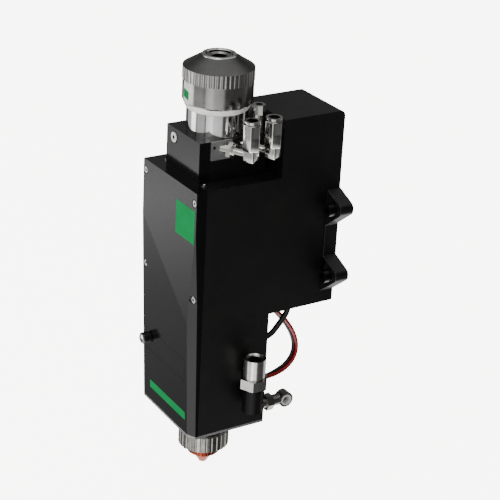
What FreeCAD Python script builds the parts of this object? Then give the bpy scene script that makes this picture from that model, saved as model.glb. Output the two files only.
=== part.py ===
import FreeCAD, Part
import math
import os
import re

import Sketcher
from FreeCAD import Placement, Rotation, Vector

# A laser cutting head with a motor-driven focusing lens. Millimetres, +Z up along the beam.
# The origin is the tip of the nozzle, where the beam and the cutting gas leave. -Y is the front.

doc = FreeCAD.newDocument("laser_cutting_head")

# Driving sizes

SIZES = {
    # housing
    "nozzle_reach": 47,
    "body_width": 77.7,
    "front_reach": 37.3,
    "rear_reach": 28.8,
    "body_height": 200,
    "foot_thickness": 2,
    "cover_thickness": 8.5,
    "box_left": 14.1,
    "box_front": 33,
    "box_back": 85.2,
    "box_bottom": 92,
    "box_rise": 44.3,
    "box_round": 4,
    "box_wall": 4,
    # facets of the front cover
    "crease_high": 157,
    "crease_low": 88,
    "facet_depth": 5,
    "edge_facet_high": 172,
    "edge_facet_low": 110,
    "edge_facet_width": 6.85,
    "edge_facet_depth": 3.5,
    "edge_foot_depth": 6.4,
    # lens chamber and motor bay
    "chamber_half": 30,
    "chamber_back": 24,
    "chamber_low": 72,
    "chamber_cover": 10,
    "bay_front": 37,
    "lid_thickness": 3,
    "lid_lip": 2,
    "post_side": 7,
    "post_depth": 9.5,
    # beam path
    "beam_radius": 12,
    "seat_radius": 19.5,
    "seat_depth": 7,
    "window_radius": 15,
    "window_thickness": 2,
    "window_seat": 5,
    "window_ring": 2.5,
    "seal_height": 2,
    # window drawer
    "drawer_low": 45.5,
    "drawer_high": 63.3,
    "drawer_left": 34,
    "drawer_right": 27.5,
    "tray_half": 24,
    "tray_back": 21,
    "tray_margin": 1.2,
    "drawer_gap": 0.25,
    "knob_radius": 4.5,
    "knob_length": 6.6,
    "knob_left": 28.5,
    "knob_seat": 2.5,
    "knob_rise": 11,
    "knob_bevel": 0.6,
    "knob_neck": 0.8,
    "knob_shank": 2,
    "knob_end_gap": 0.4,
    # collimator block
    "block_half": 23.4,
    "block_setback": 9.9,
    "block_rear": 28.2,
    "block_height": 30.6,
    "block_plate": 9.3,
    "block_bore": 16,
    "centring_rise": 0.8,
    "centring_depth": 4.9,
    "centring_socket": 3,
    "face_joint": 0.02,
    "cell_start": 2,
    "cell_end": 22,
    "cell_lens_rise": 12,
    "cell_ring_low": 18,
    "cell_ring_high": 21,
    "top_screw_out": 3.6,
    "top_screw_setback": 4.1,
    "top_screw_head": 1.8,
    "top_screw_shank": 1,
    "top_screw_length": 5.5,
    "top_screw_rise": 0.8,
    # fibre connector
    "base_radius": 22.3,
    "base_height": 16.6,
    "sleeve_radius": 25.7,
    "band_radius": 26,
    "sleeve_start": 6,
    "band_low": 21.4,
    "cap_low": 30.8,
    "cap_high": 38.6,
    "nose_radius": 12.9,
    "nose_top": 39.7,
    "core_radius": 20,
    "nose_bore": 9.5,
    "fibre_radius": 5.5,
    "fibre_channel": 4,
    "insert_lip": 7.7,
    "insert_drop": 1.3,
    "insert_groove": 4.2,
    "insert_lead": 1,
    "nose_edge": 0.7,
    "band_flutes": 50,
    # focusing drive
    "rod_radius": 3,
    "rod_spread": 24,
    "rod_seat": 3,
    "carriage_low": 118,
    "carriage_height": 24,
    "barrel_radius": 18,
    "barrel_low": 108,
    "barrel_high": 156,
    "lens_radius": 12.5,
    "lens_edge": 3,
    "lens_bulge": 1.5,
    "lens_land": 1.2,
    "lens_rise": 14,
    "lens_ring_low": 20,
    "lens_ring_high": 24,
    "lens_ring_width": 2,
    "screw_x": 12.4,
    "screw_y": 55,
    "screw_radius": 4,
    "arm_width": 16,
    "arm_height": 12,
    "nut_radius": 6,
    "nut_flange": 9,
    "motor_side": 35,
    "motor_height": 34,
    "motor_plate": 3,
    "bearing_radius": 8,
    "bearing_height": 6,
    "bearing_bore": 3,
    "coupling_radius": 7.5,
    "coupling_length": 13,
    "shaft_radius": 2.5,
    "shaft_rise": 6,
    "shelf_hole": 6,
    "focus_travel": 10,
    # nozzle end
    "neck_radius": 16,
    "holder_bore": 10,
    "ring_radius": 19.6,
    "ring_high": 17,
    "ring_low": 29.4,
    "ring_lip": 2,
    "ring_knurls": 30,
    "thread_radius": 15,
    "ceramic_radius": 12.9,
    "ceramic_flange": 2,
    "ceramic_foot": 31,
    "nozzle_thread": 5.95,
    "nozzle_flange": 12.3,
    "flange_foot": 37,
    "cone_radius": 9,
    "tip_radius": 3,
    "orifice_radius": 1.2,
    # mounting ears
    "ear_front": 73.9,
    "ear_thickness": 11.5,
    "ear_reach": 18.8,
    "ear_pitch": 53.5,
    "ear_hole_height": 118.6,
    "ear_hole_out": 9.3,
    "ear_rise": 12.4,
    "ear_drop": 17,
    "ear_tip_rise": 4.7,
    "ear_tip_drop": 1.8,
    "ear_round": 4.4,
    "ear_strip": 0.9,
    "bolt_radius": 3,
    "bolt_head": 5,
    "bolt_head_height": 6,
    "bolt_length": 11,
    # water ports
    "port_y": -8.5,
    "port_pitch": 18,
    "port_height": 24.5,
    "port_turn": 27,
    "port_neck": 3.6,
    "port_depth": 6,
    "port_flats": 11,
    "port_hex_out": 5.8,
    "port_hex_length": 3.4,
    "port_journal": 2.4,
    "port_journal_length": 4.6,
    "port_bore": 2,
    "elbow_out": 23.4,
    "elbow_side": 11.6,
    "elbow_arm": 3.3,
    "socket_radius": 6.7,
    "socket_top": 23.6,
    "socket_bore": 5,
    "tube_radius": 4,
    "socket_depth": 15,
    "collet_rim": 6,
    "collet_rise": 1.6,
    "collet_rim_height": 1,
    "plate_thickness": 1.2,
    "plate_front": 18.1,
    "plate_length": 17,
    "plate_height": 14,
    "plug_x": 18.5,
    "plug_y": 23.5,
    "plug_flats": 8.8,
    "plug_height": 20.7,
    "plug_hex": 7,
    "plug_neck": 4.4,
    # gas ports
    "gas_out": 10.1,
    "gas_y": 12,
    "gas_low": 19.6,
    "gas_high": 37.6,
    "gas_radius": 7.8,
    "gas_stub": 6,
    "gas_channel": 3,
    "gas_collar": 6.8,
    "gas_collar_height": 2.6,
    "gas_flats": 19.2,
    "gas_hex_height": 7.9,
    "gas_barrel": 8.4,
    "gas_top": 64.2,
    "gas_bore": 5.6,
    "gas_tube": 4.2,
    "gas_bore_depth": 17,
    "gas_notch": 3,
    "gas_collet_sink": 1.4,
    "branch_height": 23.4,
    "branch_radius": 4.2,
    "branch_flats": 11.4,
    "branch_hex_start": 22.6,
    "branch_hex_end": 28,
    "branch_y": 39.5,
    "branch_barrel": 6,
    "branch_front": 4.2,
    "branch_length": 7.6,
    "branch_bore": 4.3,
    "branch_tube": 3.1,
    # small knobs and screws
    "side_knob_radius": 3.6,
    "side_knob_length": 7,
    "side_knob_y": -23,
    "side_knob_height": 6,
    "side_knob_bevel": 0.5,
    "side_knob_shank": 1.7,
    "side_knob_depth": 7.5,
    "cover_screw_inset": 3.25,
    "cover_screw_drop": 8.4,
    "cover_screw_low": 116,
    "cover_screw_head": 2.5,
    "cover_screw_shank": 1.5,
    "cover_screw_height": 1.4,
    "cover_screw_socket": 2.2,
    "cover_screw_well": 1,
    "cover_screw_depth": 5,
    "centring_x": -12.2,
    "centring_height": 23.7,
    "centring_radius": 3.8,
    "case_head": 2.7,
    "case_head_height": 1.2,
    "case_shank": 1.5,
    "case_screw_length": 8,
    # wires
    "wire_radius": 1.15,
    "cable_radius": 1.9,
    "gland_radius": 4.4,
    "gland_rise": 1.5,
    "gland_depth": 3,
    # fits
    "running": 0.05,
    "loose": 0.1,
}

# Places that follow from the driving sizes, each read by the features below

PLACES = {
    "body_low": "nozzle_reach",
    "body_high": "nozzle_reach + body_height",
    "shell_low": "nozzle_reach + foot_thickness",
    "side_x": "body_width / 2",
    "cover_back": "cover_thickness - front_reach",
    "box_floor": "nozzle_reach + box_bottom",
    "box_roof": "nozzle_reach + body_height + box_rise",
    "bay_left": "box_wall - box_left",
    "bay_right": "body_width / 2 - box_wall",
    "bay_floor": "nozzle_reach + box_bottom + box_wall",
    "bay_roof": "nozzle_reach + body_height + box_rise - box_wall",
    "bay_back": "box_back - lid_thickness",
    "chamber_floor": "nozzle_reach + chamber_low",
    "chamber_roof": "nozzle_reach + body_height - chamber_cover",
    "slot_floor": "nozzle_reach + drawer_low + tray_margin",
    "slot_roof": "nozzle_reach + drawer_high - tray_margin",
    "block_low": "nozzle_reach + body_height",
    "block_high": "nozzle_reach + body_height + block_height",
    "base_high": "nozzle_reach + body_height + block_height + base_height",
    "connector": "nozzle_reach + body_height + block_height + base_height",
    "arm_low": "nozzle_reach + carriage_low + (carriage_height - arm_height) / 2",
    "arm_high": "nozzle_reach + carriage_low + (carriage_height + arm_height) / 2",
    "motor_low": "nozzle_reach + body_height + box_rise - box_wall - motor_height",
    "gas_x": "body_width / 2 + gas_out",
    "gas_z": "nozzle_reach + branch_height",
    "hex_low": "nozzle_reach + gas_high + gas_collar_height",
    "hex_high": "nozzle_reach + gas_high + gas_collar_height + gas_hex_height",
    "gas_mouth": "nozzle_reach + gas_top",
    "port_z": "nozzle_reach + body_height + port_height",
    "ear_back": "ear_front + ear_thickness",
    "block_front": "front_reach - block_setback",
    "cover_screw_high": "body_height - cover_screw_drop",
    "knob_height": "drawer_low + knob_rise",
    "top_screw_x": "block_half + top_screw_out",
    "top_screw_y": "cover_thickness - front_reach + top_screw_setback",
    "cell_lens_low": "nozzle_reach + body_height + cell_lens_rise",
    "focus_lens_low": "nozzle_reach + barrel_low + lens_rise",
    "insert_top": "nozzle_reach + body_height + block_height + base_height + nose_top - insert_drop",
    "window_low": "nozzle_reach + chamber_low - window_seat",
}

sheet = doc.addObject("Spreadsheet::Sheet", "sizes")
for row, (alias, amount) in enumerate(SIZES.items(), start=1):
    sheet.set(f"A{row}", alias.replace("_", " "))
    sheet.set(f"B{row}", str(amount))
    sheet.setAlias(f"B{row}", alias)
doc.recompute()
places = doc.addObject("App::FeaturePython", "places")


def tied(text):
    """The formula with each size and place named the way an expression reads it."""
    def full_name(match):
        word = match.group(0)
        if word in SIZES:
            return "sizes." + word
        if word in PLACES:
            return "places." + word
        return word
    return re.sub(r"[a-z][a-z_0-9]*", full_name, str(text))


def bind(item, name, text):
    item.setExpression(name, tied(text))


for place, formula in PLACES.items():
    places.addProperty("App::PropertyFloat", place)
    bind(places, place, formula)
doc.recompute()


def size(name):
    """A size or place as a number, for a shape that is worked out in code."""
    return float(getattr(places if name in PLACES else sheet, name))


# Solids whose sizes and places are formulas of the sheet

TURNS = {
    "X": Rotation(Vector(0, 1, 0), 90),
    "Y": Rotation(Vector(1, 0, 0), -90),
    "Z": Rotation(),
}


def block(name, x, y, z):
    solid = doc.addObject("Part::Box", name)
    for side, letter, (low, high) in (("Length", "x", x), ("Width", "y", y), ("Height", "z", z)):
        bind(solid, side, f"({high}) - ({low})")
        bind(solid, f"Placement.Base.{letter}", low)
    return solid


def stand(solid, axis, start, centre):
    """Lays a solid's own axis along X, Y or Z through a centre given by its other two places."""
    solid.Placement = Placement(Vector(), TURNS[axis])
    bind(solid, f"Placement.Base.{axis.lower()}", start)
    for letter, place in zip("XYZ".replace(axis, ""), centre):
        bind(solid, f"Placement.Base.{letter.lower()}", place)
    return solid


def rod(name, axis, radius, start, end, centre=("0", "0")):
    solid = doc.addObject("Part::Cylinder", name)
    bind(solid, "Radius", radius)
    bind(solid, "Height", f"({end}) - ({start})")
    return stand(solid, axis, start, centre)


def cone(name, axis, first, last, start, end, centre=("0", "0")):
    solid = doc.addObject("Part::Cone", name)
    bind(solid, "Radius1", first)
    bind(solid, "Radius2", last)
    bind(solid, "Height", f"({end}) - ({start})")
    return stand(solid, axis, start, centre)


def hexagon(name, axis, flats, start, end, centre=("0", "0")):
    solid = doc.addObject("Part::Prism", name)
    solid.Polygon = 6
    bind(solid, "Circumradius", f"({flats}) / 2 / cos(30)")
    bind(solid, "Height", f"({end}) - ({start})")
    return stand(solid, axis, start, centre)


def fuse(name, solids):
    if len(solids) == 1:
        return solids[0]
    joined = doc.addObject("Part::MultiFuse", name)
    joined.Shapes = solids
    joined.Refine = True
    return joined


def cut(name, base, tools):
    result = doc.addObject("Part::Cut", name)
    result.Base = base
    result.Tool = fuse(name + "_tools", tools)
    result.Refine = True
    return result


def turned(name, axis, centre, outside, inside=()):
    """A turned piece from steps of first radius, last radius, start and end along its axis."""
    def steps(kind, rows):
        made = []
        for count, (first, last, start, end) in enumerate(rows):
            label = f"{name}_{kind}{count}"
            if first == last:
                made.append(rod(label, axis, first, start, end, centre))
            else:
                made.append(cone(label, axis, first, last, start, end, centre))
        return made
    solid = fuse(name + "_body", steps("step", outside))
    if inside:
        solid = cut(name + "_bored", solid, steps("bore", inside))
    return solid


NODES = []


def piece(solid, node):
    """Names a finished solid, or a group of like ones, as a sub-part of its own."""
    solid.Label = node
    NODES.append(solid)
    return solid


def group(node, solids):
    gathered = doc.addObject("Part::Compound", node + "_group")
    gathered.Links = solids
    return piece(gathered, node)


# Sketched pieces

def origin_plane(body, role):
    return [feature for feature in body.Origin.OriginFeatures if feature.Role == role][0]


def outline_sketch(body, role, name, corners):
    """A closed outline whose corners are pairs of formulas, on one of the body's origin planes."""
    sketch = body.newObject("Sketcher::SketchObject", name)
    sketch.AttachmentSupport = (origin_plane(body, role), [""])
    sketch.MapMode = "FlatFace"
    count = len(corners)
    for index in range(count):
        start = Vector(index, index * index, 0)
        after = (index + 1) % count
        sketch.addGeometry(Part.LineSegment(start, Vector(after, after * after, 0)), False)
    for index in range(count):
        sketch.addConstraint(Sketcher.Constraint("Coincident", index, 2, (index + 1) % count, 1))
    for index, corner in enumerate(corners):
        for kind, text, rough in (("DistanceX", corner[0], index), ("DistanceY", corner[1], index ** 2)):
            number = sketch.addConstraint(Sketcher.Constraint(kind, -1, 1, index, 1, float(rough)))
            sketch.setExpression(f"Constraints[{number}]", tied(text))
    return sketch


def circle_sketch(body, name, radius, centre_x="0", height=None):
    sketch = body.newObject("Sketcher::SketchObject", name)
    sketch.AttachmentSupport = (origin_plane(body, "XY_Plane"), [""])
    sketch.MapMode = "FlatFace"
    if height:
        bind(sketch, "AttachmentOffset.Base.z", height)
    sketch.addGeometry(Part.Circle(Vector(1, 0, 0), Vector(0, 0, 1), 1), False)
    for kind, text, rough in (("DistanceX", centre_x, 1.0), ("DistanceY", "0", 0.0)):
        number = sketch.addConstraint(Sketcher.Constraint(kind, -1, 1, 0, 3, rough))
        sketch.setExpression(f"Constraints[{number}]", tied(text))
    number = sketch.addConstraint(Sketcher.Constraint("Radius", 0, 1.0))
    sketch.setExpression(f"Constraints[{number}]", tied(radius))
    return sketch


def edges_at(shape, along, **where):
    """Names of the straight edges that run along one axis at the given places."""
    found = []
    for number, edge in enumerate(shape.Edges, start=1):
        box = edge.BoundBox
        spans = {"x": box.XLength, "y": box.YLength, "z": box.ZLength}
        middle = {"x": box.Center.x, "y": box.Center.y, "z": box.Center.z}
        straight = all(spans[letter] < 0.01 for letter in "xyz" if letter != along)
        if straight and all(abs(middle[letter] - place) < 0.01 for letter, place in where.items()):
            found.append(f"Edge{number}")
    return found


def rounded(body, name, radius, edges):
    base = body.Tip
    fillet = body.newObject("PartDesign::Fillet", name)
    fillet.Base = (base, edges)
    bind(fillet, "Radius", radius)
    body.Tip = fillet
    doc.recompute()
    return fillet


def padded(body, sketch, name, length, reverse=False):
    pad = body.newObject("PartDesign::Pad", name)
    pad.Profile = sketch
    pad.Reversed = reverse
    bind(pad, "Length", length)
    body.Tip = pad
    return pad


def fluted(name, radius, low, height, flute_radius, flute_bite, flutes):
    """A round bar with a polar pattern of flutes along its rim."""
    body = doc.addObject("PartDesign::Body", name)
    padded(body, circle_sketch(body, name + "_round", radius, height=low), name + "_bar", height)
    groove = circle_sketch(body, name + "_flute", flute_radius,
                           f"{radius} + {flute_radius} - {flute_bite}", low)
    pocket = body.newObject("PartDesign::Pocket", name + "_pocket")
    pocket.Profile = groove
    pocket.Type = "ThroughAll"
    pocket.Reversed = True
    pattern = body.newObject("PartDesign::PolarPattern", name + "_pattern")
    pattern.Originals = [pocket]
    pattern.Axis = (groove, ["N_Axis"])
    pattern.Angle = 360
    bind(pattern, "Occurrences", flutes)
    body.Tip = pattern
    return body


def half_space(name, first, second, third, inner, low, high):
    """The material in front of a slanted plane, between two heights. inner is a point kept."""
    normal = (second - first).cross(third - first)
    normal.normalize()
    if (inner - first).dot(normal) > 0:
        normal = normal * -1
    reach = 4 * size("body_height")
    slab = Part.makePlane(reach, reach, Vector(-reach / 2, -reach / 2, 0)).extrude(Vector(0, 0, reach))
    slab.Placement = Placement(first, Rotation(Vector(0, 0, 1), normal))
    band = Part.makeBox(reach, reach, high - low, Vector(-reach / 2, -reach / 2, low))
    solid = doc.addObject("Part::Feature", name)
    solid.Shape = slab.common(band)
    return solid


# Front facets

def front_point(x, depth, height):
    return Vector(x, depth - size("front_reach"), size("body_low") + height)


def facet_tools(prefix):
    """The three slanted cuts on the front: a low left facet and two narrow ones at the right edge."""
    right = size("side_x")
    inside = Vector(0, 0, size("body_low") + size("crease_low"))
    inner_x = right - size("edge_facet_width")
    high = size("body_low") + size("edge_facet_low")
    low_left = half_space(
        prefix + "_low_left",
        front_point(-right, 0, size("crease_high")),
        front_point(right, 0, size("crease_low")),
        front_point(-right, size("facet_depth"), 0),
        inside, size("body_low") - 1, size("body_high") + 1)
    edge_high = half_space(
        prefix + "_edge_high",
        front_point(right, 0, size("edge_facet_high")),
        front_point(inner_x, 0, size("edge_facet_low")),
        front_point(right, size("edge_facet_depth"), size("edge_facet_low")),
        inside, high, size("body_high") + 1)
    edge_low = half_space(
        prefix + "_edge_low",
        front_point(right, size("edge_facet_depth"), size("edge_facet_low")),
        front_point(inner_x, 0, size("edge_facet_low")),
        front_point(right, size("edge_foot_depth"), 0),
        inside, size("body_low") - 1, high)
    return [low_left, edge_high, edge_low]


def faceted_front(name, low):
    slab = block(name + "_slab", ("-side_x", "side_x"), ("-front_reach", "cover_back"), (low, "body_high"))
    return cut(name + "_faceted", slab, facet_tools(name))


SCREW_PLACES = [
    (sign, height) for height in ("cover_screw_high", "cover_screw_low") for sign in ("-", "")
]


def screw_x(sign):
    return f"{sign}(side_x - cover_screw_inset)"


# Depth of each cover screw's seat behind the front plane, deeper where the facets fall away
SCREW_SINK = {"cover_screw_high": "1.6", "cover_screw_low": "3.4"}


def make_front_cover():
    window = block("drawer_window", ("-drawer_left", "drawer_right"), ("-front_reach - 1", "cover_back + 1"),
                   ("body_low + drawer_low", "body_low + drawer_high"))
    tools = [window]
    for count, (sign, height) in enumerate(SCREW_PLACES):
        centre = (screw_x(sign), f"body_low + {height}")
        tools.append(rod(f"screw_seat{count}", "Y", "cover_screw_head + 0.5", "-front_reach - 1",
                         f"-front_reach + {SCREW_SINK[height]}", centre))
        tools.append(rod(f"screw_hole{count}", "Y", "cover_screw_shank", "-front_reach",
                         "cover_back + 1", centre))
    piece(cut("cover_cut", faceted_front("cover", "shell_low"), tools), "front_cover")


def make_cover_screws():
    screws = []
    for count, (sign, height) in enumerate(SCREW_PLACES):
        centre = (screw_x(sign), f"body_low + {height}")
        seat = f"-front_reach + {SCREW_SINK[height]}"
        front = f"{seat} - cover_screw_height"
        head = rod(f"cover_head{count}", "Y", "cover_screw_head", front, seat, centre)
        shank = rod(f"cover_shank{count}", "Y", "cover_screw_shank", seat, "cover_back + cover_screw_depth", centre)
        socket = hexagon(f"cover_socket{count}", "Y", "cover_screw_socket", f"{front} - 1",
                         f"{front} + cover_screw_well", centre)
        screws.append(cut(f"cover_screw{count}", fuse(f"cover_screw_solid{count}", [head, shank]), [socket]))
    group("cover_screws", screws)


def make_main_housing():
    body = doc.addObject("PartDesign::Body", "housing_block")
    trunk = outline_sketch(body, "YZ_Plane", "trunk_outline", [
        ("cover_back", "shell_low"), ("rear_reach", "shell_low"),
        ("rear_reach", "body_high"), ("cover_back", "body_high")])
    trunk_pad = padded(body, trunk, "trunk", "body_width")
    trunk_pad.Midplane = True
    box_outline = outline_sketch(body, "YZ_Plane", "box_outline", [
        ("rear_reach - box_wall", "box_floor"), ("box_back", "box_floor"), ("box_back", "box_roof"),
        ("box_front", "box_roof"), ("box_front", "body_high"), ("rear_reach - box_wall", "body_high")])
    bind(box_outline, "AttachmentOffset.Base.z", "-box_left")
    padded(body, box_outline, "rear_box", "box_left + side_x")
    doc.recompute()
    corner = edges_at(body.Shape, "x", y=size("box_back"), z=size("box_roof"))
    rounded(body, "box_corner", "box_round", corner)
    top = edges_at(body.Shape, "x", y=size("box_front"), z=size("box_roof"))
    rounded(body, "box_front_edge", "box_round / 4", top)

    chamber = block("lens_chamber", ("-chamber_half", "chamber_half"), ("cover_back - 1", "chamber_back"),
                    ("chamber_floor", "chamber_roof"))
    slot = block("arm_slot", ("screw_x - arm_width / 2 - 2.5", "screw_x + arm_width / 2 + 2.5"),
                 ("chamber_back - 1", "bay_front + 1"),
                 ("arm_low - focus_travel - 6", "arm_high + focus_travel + 6"))
    bay = block("motor_bay", ("bay_left", "bay_right"), ("bay_front", "box_back + 1"), ("bay_floor", "bay_roof"))
    posts = []
    for left in (True, False):
        for low in (True, False):
            x = ("bay_left", "bay_left + post_side") if left else ("bay_right - post_side", "bay_right")
            z = ("bay_floor", "bay_floor + post_side") if low else ("bay_roof - post_side", "bay_roof")
            posts.append(block("post", x, ("bay_back - post_depth", "bay_back"), z))
    posted = cut("bay_with_posts", bay, posts)
    lid_seat = block("lid_seat", ("bay_left - lid_lip", "bay_right + lid_lip"), ("bay_back", "box_back + 1"),
                     ("bay_floor - lid_lip", "bay_roof + lid_lip"))
    tray_slot = block("tray_slot", ("-tray_half", "tray_half"), ("cover_back - 1", "tray_back + 1"),
                      ("slot_floor", "slot_roof"))
    tools = [
        chamber, slot, posted, lid_seat, tray_slot,
        rod("holder_seat", "Z", "seat_radius + running", "shell_low - 1", "shell_low + seat_depth"),
        rod("lower_beam", "Z", "beam_radius", "shell_low", "slot_floor + 1"),
        rod("upper_beam", "Z", "beam_radius", "slot_roof - 1", "chamber_floor + 1"),
        rod("window_well", "Z", "window_radius + running", "window_low", "chamber_floor + 1"),
        rod("top_beam", "Z", "block_bore", "chamber_roof - 1", "body_high + 1"),
        rod("gas_channel_hole", "X", "gas_channel", "beam_radius - 2", "side_x + 1",
            ("gas_y", "body_low + (gas_low + gas_high) / 2")),
        rod("side_knob_hole", "X", "side_knob_shank + running", "-side_x - 1", "-side_x + side_knob_depth + 0.5",
            ("side_knob_y", "body_low + side_knob_height")),
    ]
    for sign in ("-", ""):
        tools.append(rod("rod_hole", "Z", "rod_radius + 0.02", "chamber_floor - rod_seat",
                         "chamber_roof + rod_seat", (f"{sign}rod_spread", "0")))
    for sign, height in SCREW_PLACES:
        tools.append(rod("cover_thread", "Y", "cover_screw_shank + 0.02", "cover_back - 1",
                         "cover_back + cover_screw_depth", (screw_x(sign), f"body_low + {height}")))
    for x, z in lid_screw_centres():
        tools.append(rod("lid_thread", "Y", "case_shank + 0.02", "box_back - case_screw_length", "bay_back + 1",
                         (x, z)))
    for x, y in foot_screw_centres():
        tools.append(rod("foot_thread", "Z", "case_shank + 0.02", "shell_low - 1",
                         "body_low + case_screw_length", (x, y)))
    for x, y in top_screw_centres():
        tools.append(rod("top_thread", "Z", "top_screw_shank + 0.02", "body_high - top_screw_length",
                         "body_high + 1", (x, y)))
    for axis, start, end, centre in gland_seats():
        tools.append(rod("gland_hole", axis, "gland_radius + 0.02", start, end, centre))
    piece(cut("housing_cut", body, tools), "main_housing")


def lid_screw_centres():
    half = "post_side / 2"
    return [(x, z) for x in (f"bay_left + {half}", f"bay_right - {half}")
            for z in (f"bay_floor + {half}", f"bay_roof - {half}")]


def foot_screw_centres():
    return [(x, y) for x in ("-side_x + 12", "side_x - 12") for y in ("cover_back + 5", "rear_reach - 5")]


def top_screw_centres():
    return [("-top_screw_x", "top_screw_y"), ("top_screw_x", "top_screw_y")]


def gland_seats():
    """Axis, start, end and centre of each seat for a wire gland."""
    return [
        ("Z", "box_floor - 1", "box_floor + gland_depth", (str(WIRE_X), str(WIRE_TOP_Y))),
        ("Z", "box_floor - 1", "box_floor + gland_depth", (str(CABLE_X), str(CABLE_TOP_Y))),
        ("Y", "rear_reach - gland_depth", "rear_reach + 1", (str(WIRE_X), f"body_low + {WIRE_END_HEIGHT}")),
        ("Y", "rear_reach - gland_depth", "rear_reach + 1", (str(CABLE_X), f"body_low + {CABLE_END_HEIGHT}")),
    ]


def flat_screws(name, axis, centres, face, inward, head, shank, depth, head_height):
    """Low round screws sunk level with a face, with a hexagon socket. inward is + or -."""
    screws = []
    for count, centre in enumerate(centres):
        bottom = f"{face} {inward} {head_height}"
        tip = f"{face} {inward} {depth}"
        well = f"{face} {inward} {head_height} / 2"
        spans = [(face, bottom), (bottom, tip), (face, well)]
        if inward == "-":
            spans = [(end, start) for start, end in spans]
        solid = fuse(f"{name}_solid{count}", [
            rod(f"{name}_head{count}", axis, head, *spans[0], centre),
            rod(f"{name}_shank{count}", axis, shank, *spans[1], centre)])
        socket = hexagon(f"{name}_socket{count}", axis, f"{head}", *spans[2], centre)
        screws.append(cut(f"{name}_screw{count}", solid, [socket]))
    return screws


def screw_seats(name, axis, centres, face, inward, depth):
    """Stepped holes for low round screws through a plate."""
    seats = []
    for count, centre in enumerate(centres):
        for kind, radius, start, end in (("head", "case_head + loose", "-1", "case_head_height"),
                                         ("shank", "case_shank + loose", "-1", depth)):
            low, high = f"{face} {inward} ({start})", f"{face} {inward} ({end})"
            if inward == "-":
                low, high = high, low
            seats.append(rod(f"{name}_{kind}{count}", axis, radius, low, high, centre))
    return seats


def make_foot_plate():
    slab = block("foot_slab", ("-side_x", "side_x"), ("-front_reach", "rear_reach"), ("body_low", "shell_low"))
    tools = facet_tools("foot")
    tools.append(rod("foot_hole", "Z", "neck_radius + 0.1", "body_low - 1", "shell_low + 1"))
    tools += screw_seats("foot_seat", "Z", foot_screw_centres(), "body_low", "+", "foot_thickness + 1")
    piece(cut("foot_cut", slab, tools), "bottom_plate")


def make_rear_lid():
    lid = block("lid", ("bay_left - lid_lip + 0.1", "bay_right + lid_lip - 0.1"), ("bay_back", "box_back"),
                ("bay_floor - lid_lip + 0.1", "bay_roof + lid_lip - 0.1"))
    holes = screw_seats("lid_seat", "Y", lid_screw_centres(), "box_back", "-", "lid_thickness + 1")
    piece(cut("lid_cut", lid, holes), "rear_cover")


def make_case_screws():
    kind = ("case_head", "case_shank", "case_screw_length", "case_head_height")
    group("case_screws",
          flat_screws("foot_screw", "Z", foot_screw_centres(), "body_low", "+", *kind)
          + flat_screws("lid_screw", "Y", lid_screw_centres(), "box_back", "-", *kind))


# Window drawer

def make_drawer():
    front = faceted_front("drawer", "shell_low")
    opening = block("drawer_opening", ("-drawer_left + drawer_gap", "drawer_right - drawer_gap"),
                    ("-front_reach - 1", "cover_back"),
                    ("body_low + drawer_low + drawer_gap", "body_low + drawer_high - drawer_gap"))
    face = doc.addObject("Part::Common", "drawer_face")
    face.Base = front
    face.Tool = opening
    tray = block("tray", ("-tray_half + loose", "tray_half - loose"), ("cover_back - 0.5", "tray_back"),
                 ("slot_floor + loose", "slot_roof - loose"))
    solid = fuse("drawer_solid", [face, tray])
    knob_centre = ("-knob_left", "body_low + knob_height")
    tools = [
        rod("drawer_beam", "Z", "beam_radius", "slot_floor - 1", "slot_roof + 1"),
        rod("drawer_pocket", "Z", "window_radius + 0.02", "slot_floor + window_seat", "slot_roof + 1"),
        rod("drawer_knob_hole", "Y", "knob_shank + running", "-front_reach - 1", "cover_back + 1", knob_centre),
    ]
    piece(cut("drawer_cut", solid, tools), "window_drawer")
    rest = "slot_floor + window_seat"
    piece(rod("window_disc", "Z", "window_radius", rest, f"{rest} + window_thickness"), "protective_window")
    piece(turned("seal", "Z", ("0", "0"),
                 [("window_radius", "window_radius", f"{rest} + window_thickness",
                   f"{rest} + window_thickness + seal_height")],
                 [("beam_radius", "beam_radius", "slot_floor", "slot_roof")]),
          "window_seal")
    piece(turned("thumb_knob", "Y", knob_centre, [
        ("knob_radius - knob_bevel", "knob_radius", "-front_reach + knob_seat - knob_length",
         "-front_reach + knob_seat - knob_length + knob_bevel"),
        ("knob_radius", "knob_radius", "-front_reach + knob_seat - knob_length + knob_bevel",
         "-front_reach + knob_seat - knob_neck"),
        ("knob_radius - knob_neck", "knob_radius - knob_neck", "-front_reach + knob_seat - knob_neck",
         "-front_reach + knob_seat"),
        ("knob_shank", "knob_shank", "-front_reach + knob_seat", "cover_back - knob_end_gap")]),
        "drawer_knob")


def make_upper_window():
    top = "window_low + window_thickness"
    piece(rod("upper_disc", "Z", "window_radius", "window_low", top), "upper_window")
    piece(turned("upper_ring", "Z", ("0", "0"),
                 [("window_radius", "window_radius", top, f"{top} + window_ring")],
                 [("beam_radius", "beam_radius", "window_low - 1", "chamber_floor + 1")]),
          "upper_window_ring")


# Nozzle end

def below(name, extra="0"):
    return f"body_low - {name} + {extra}"


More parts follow.
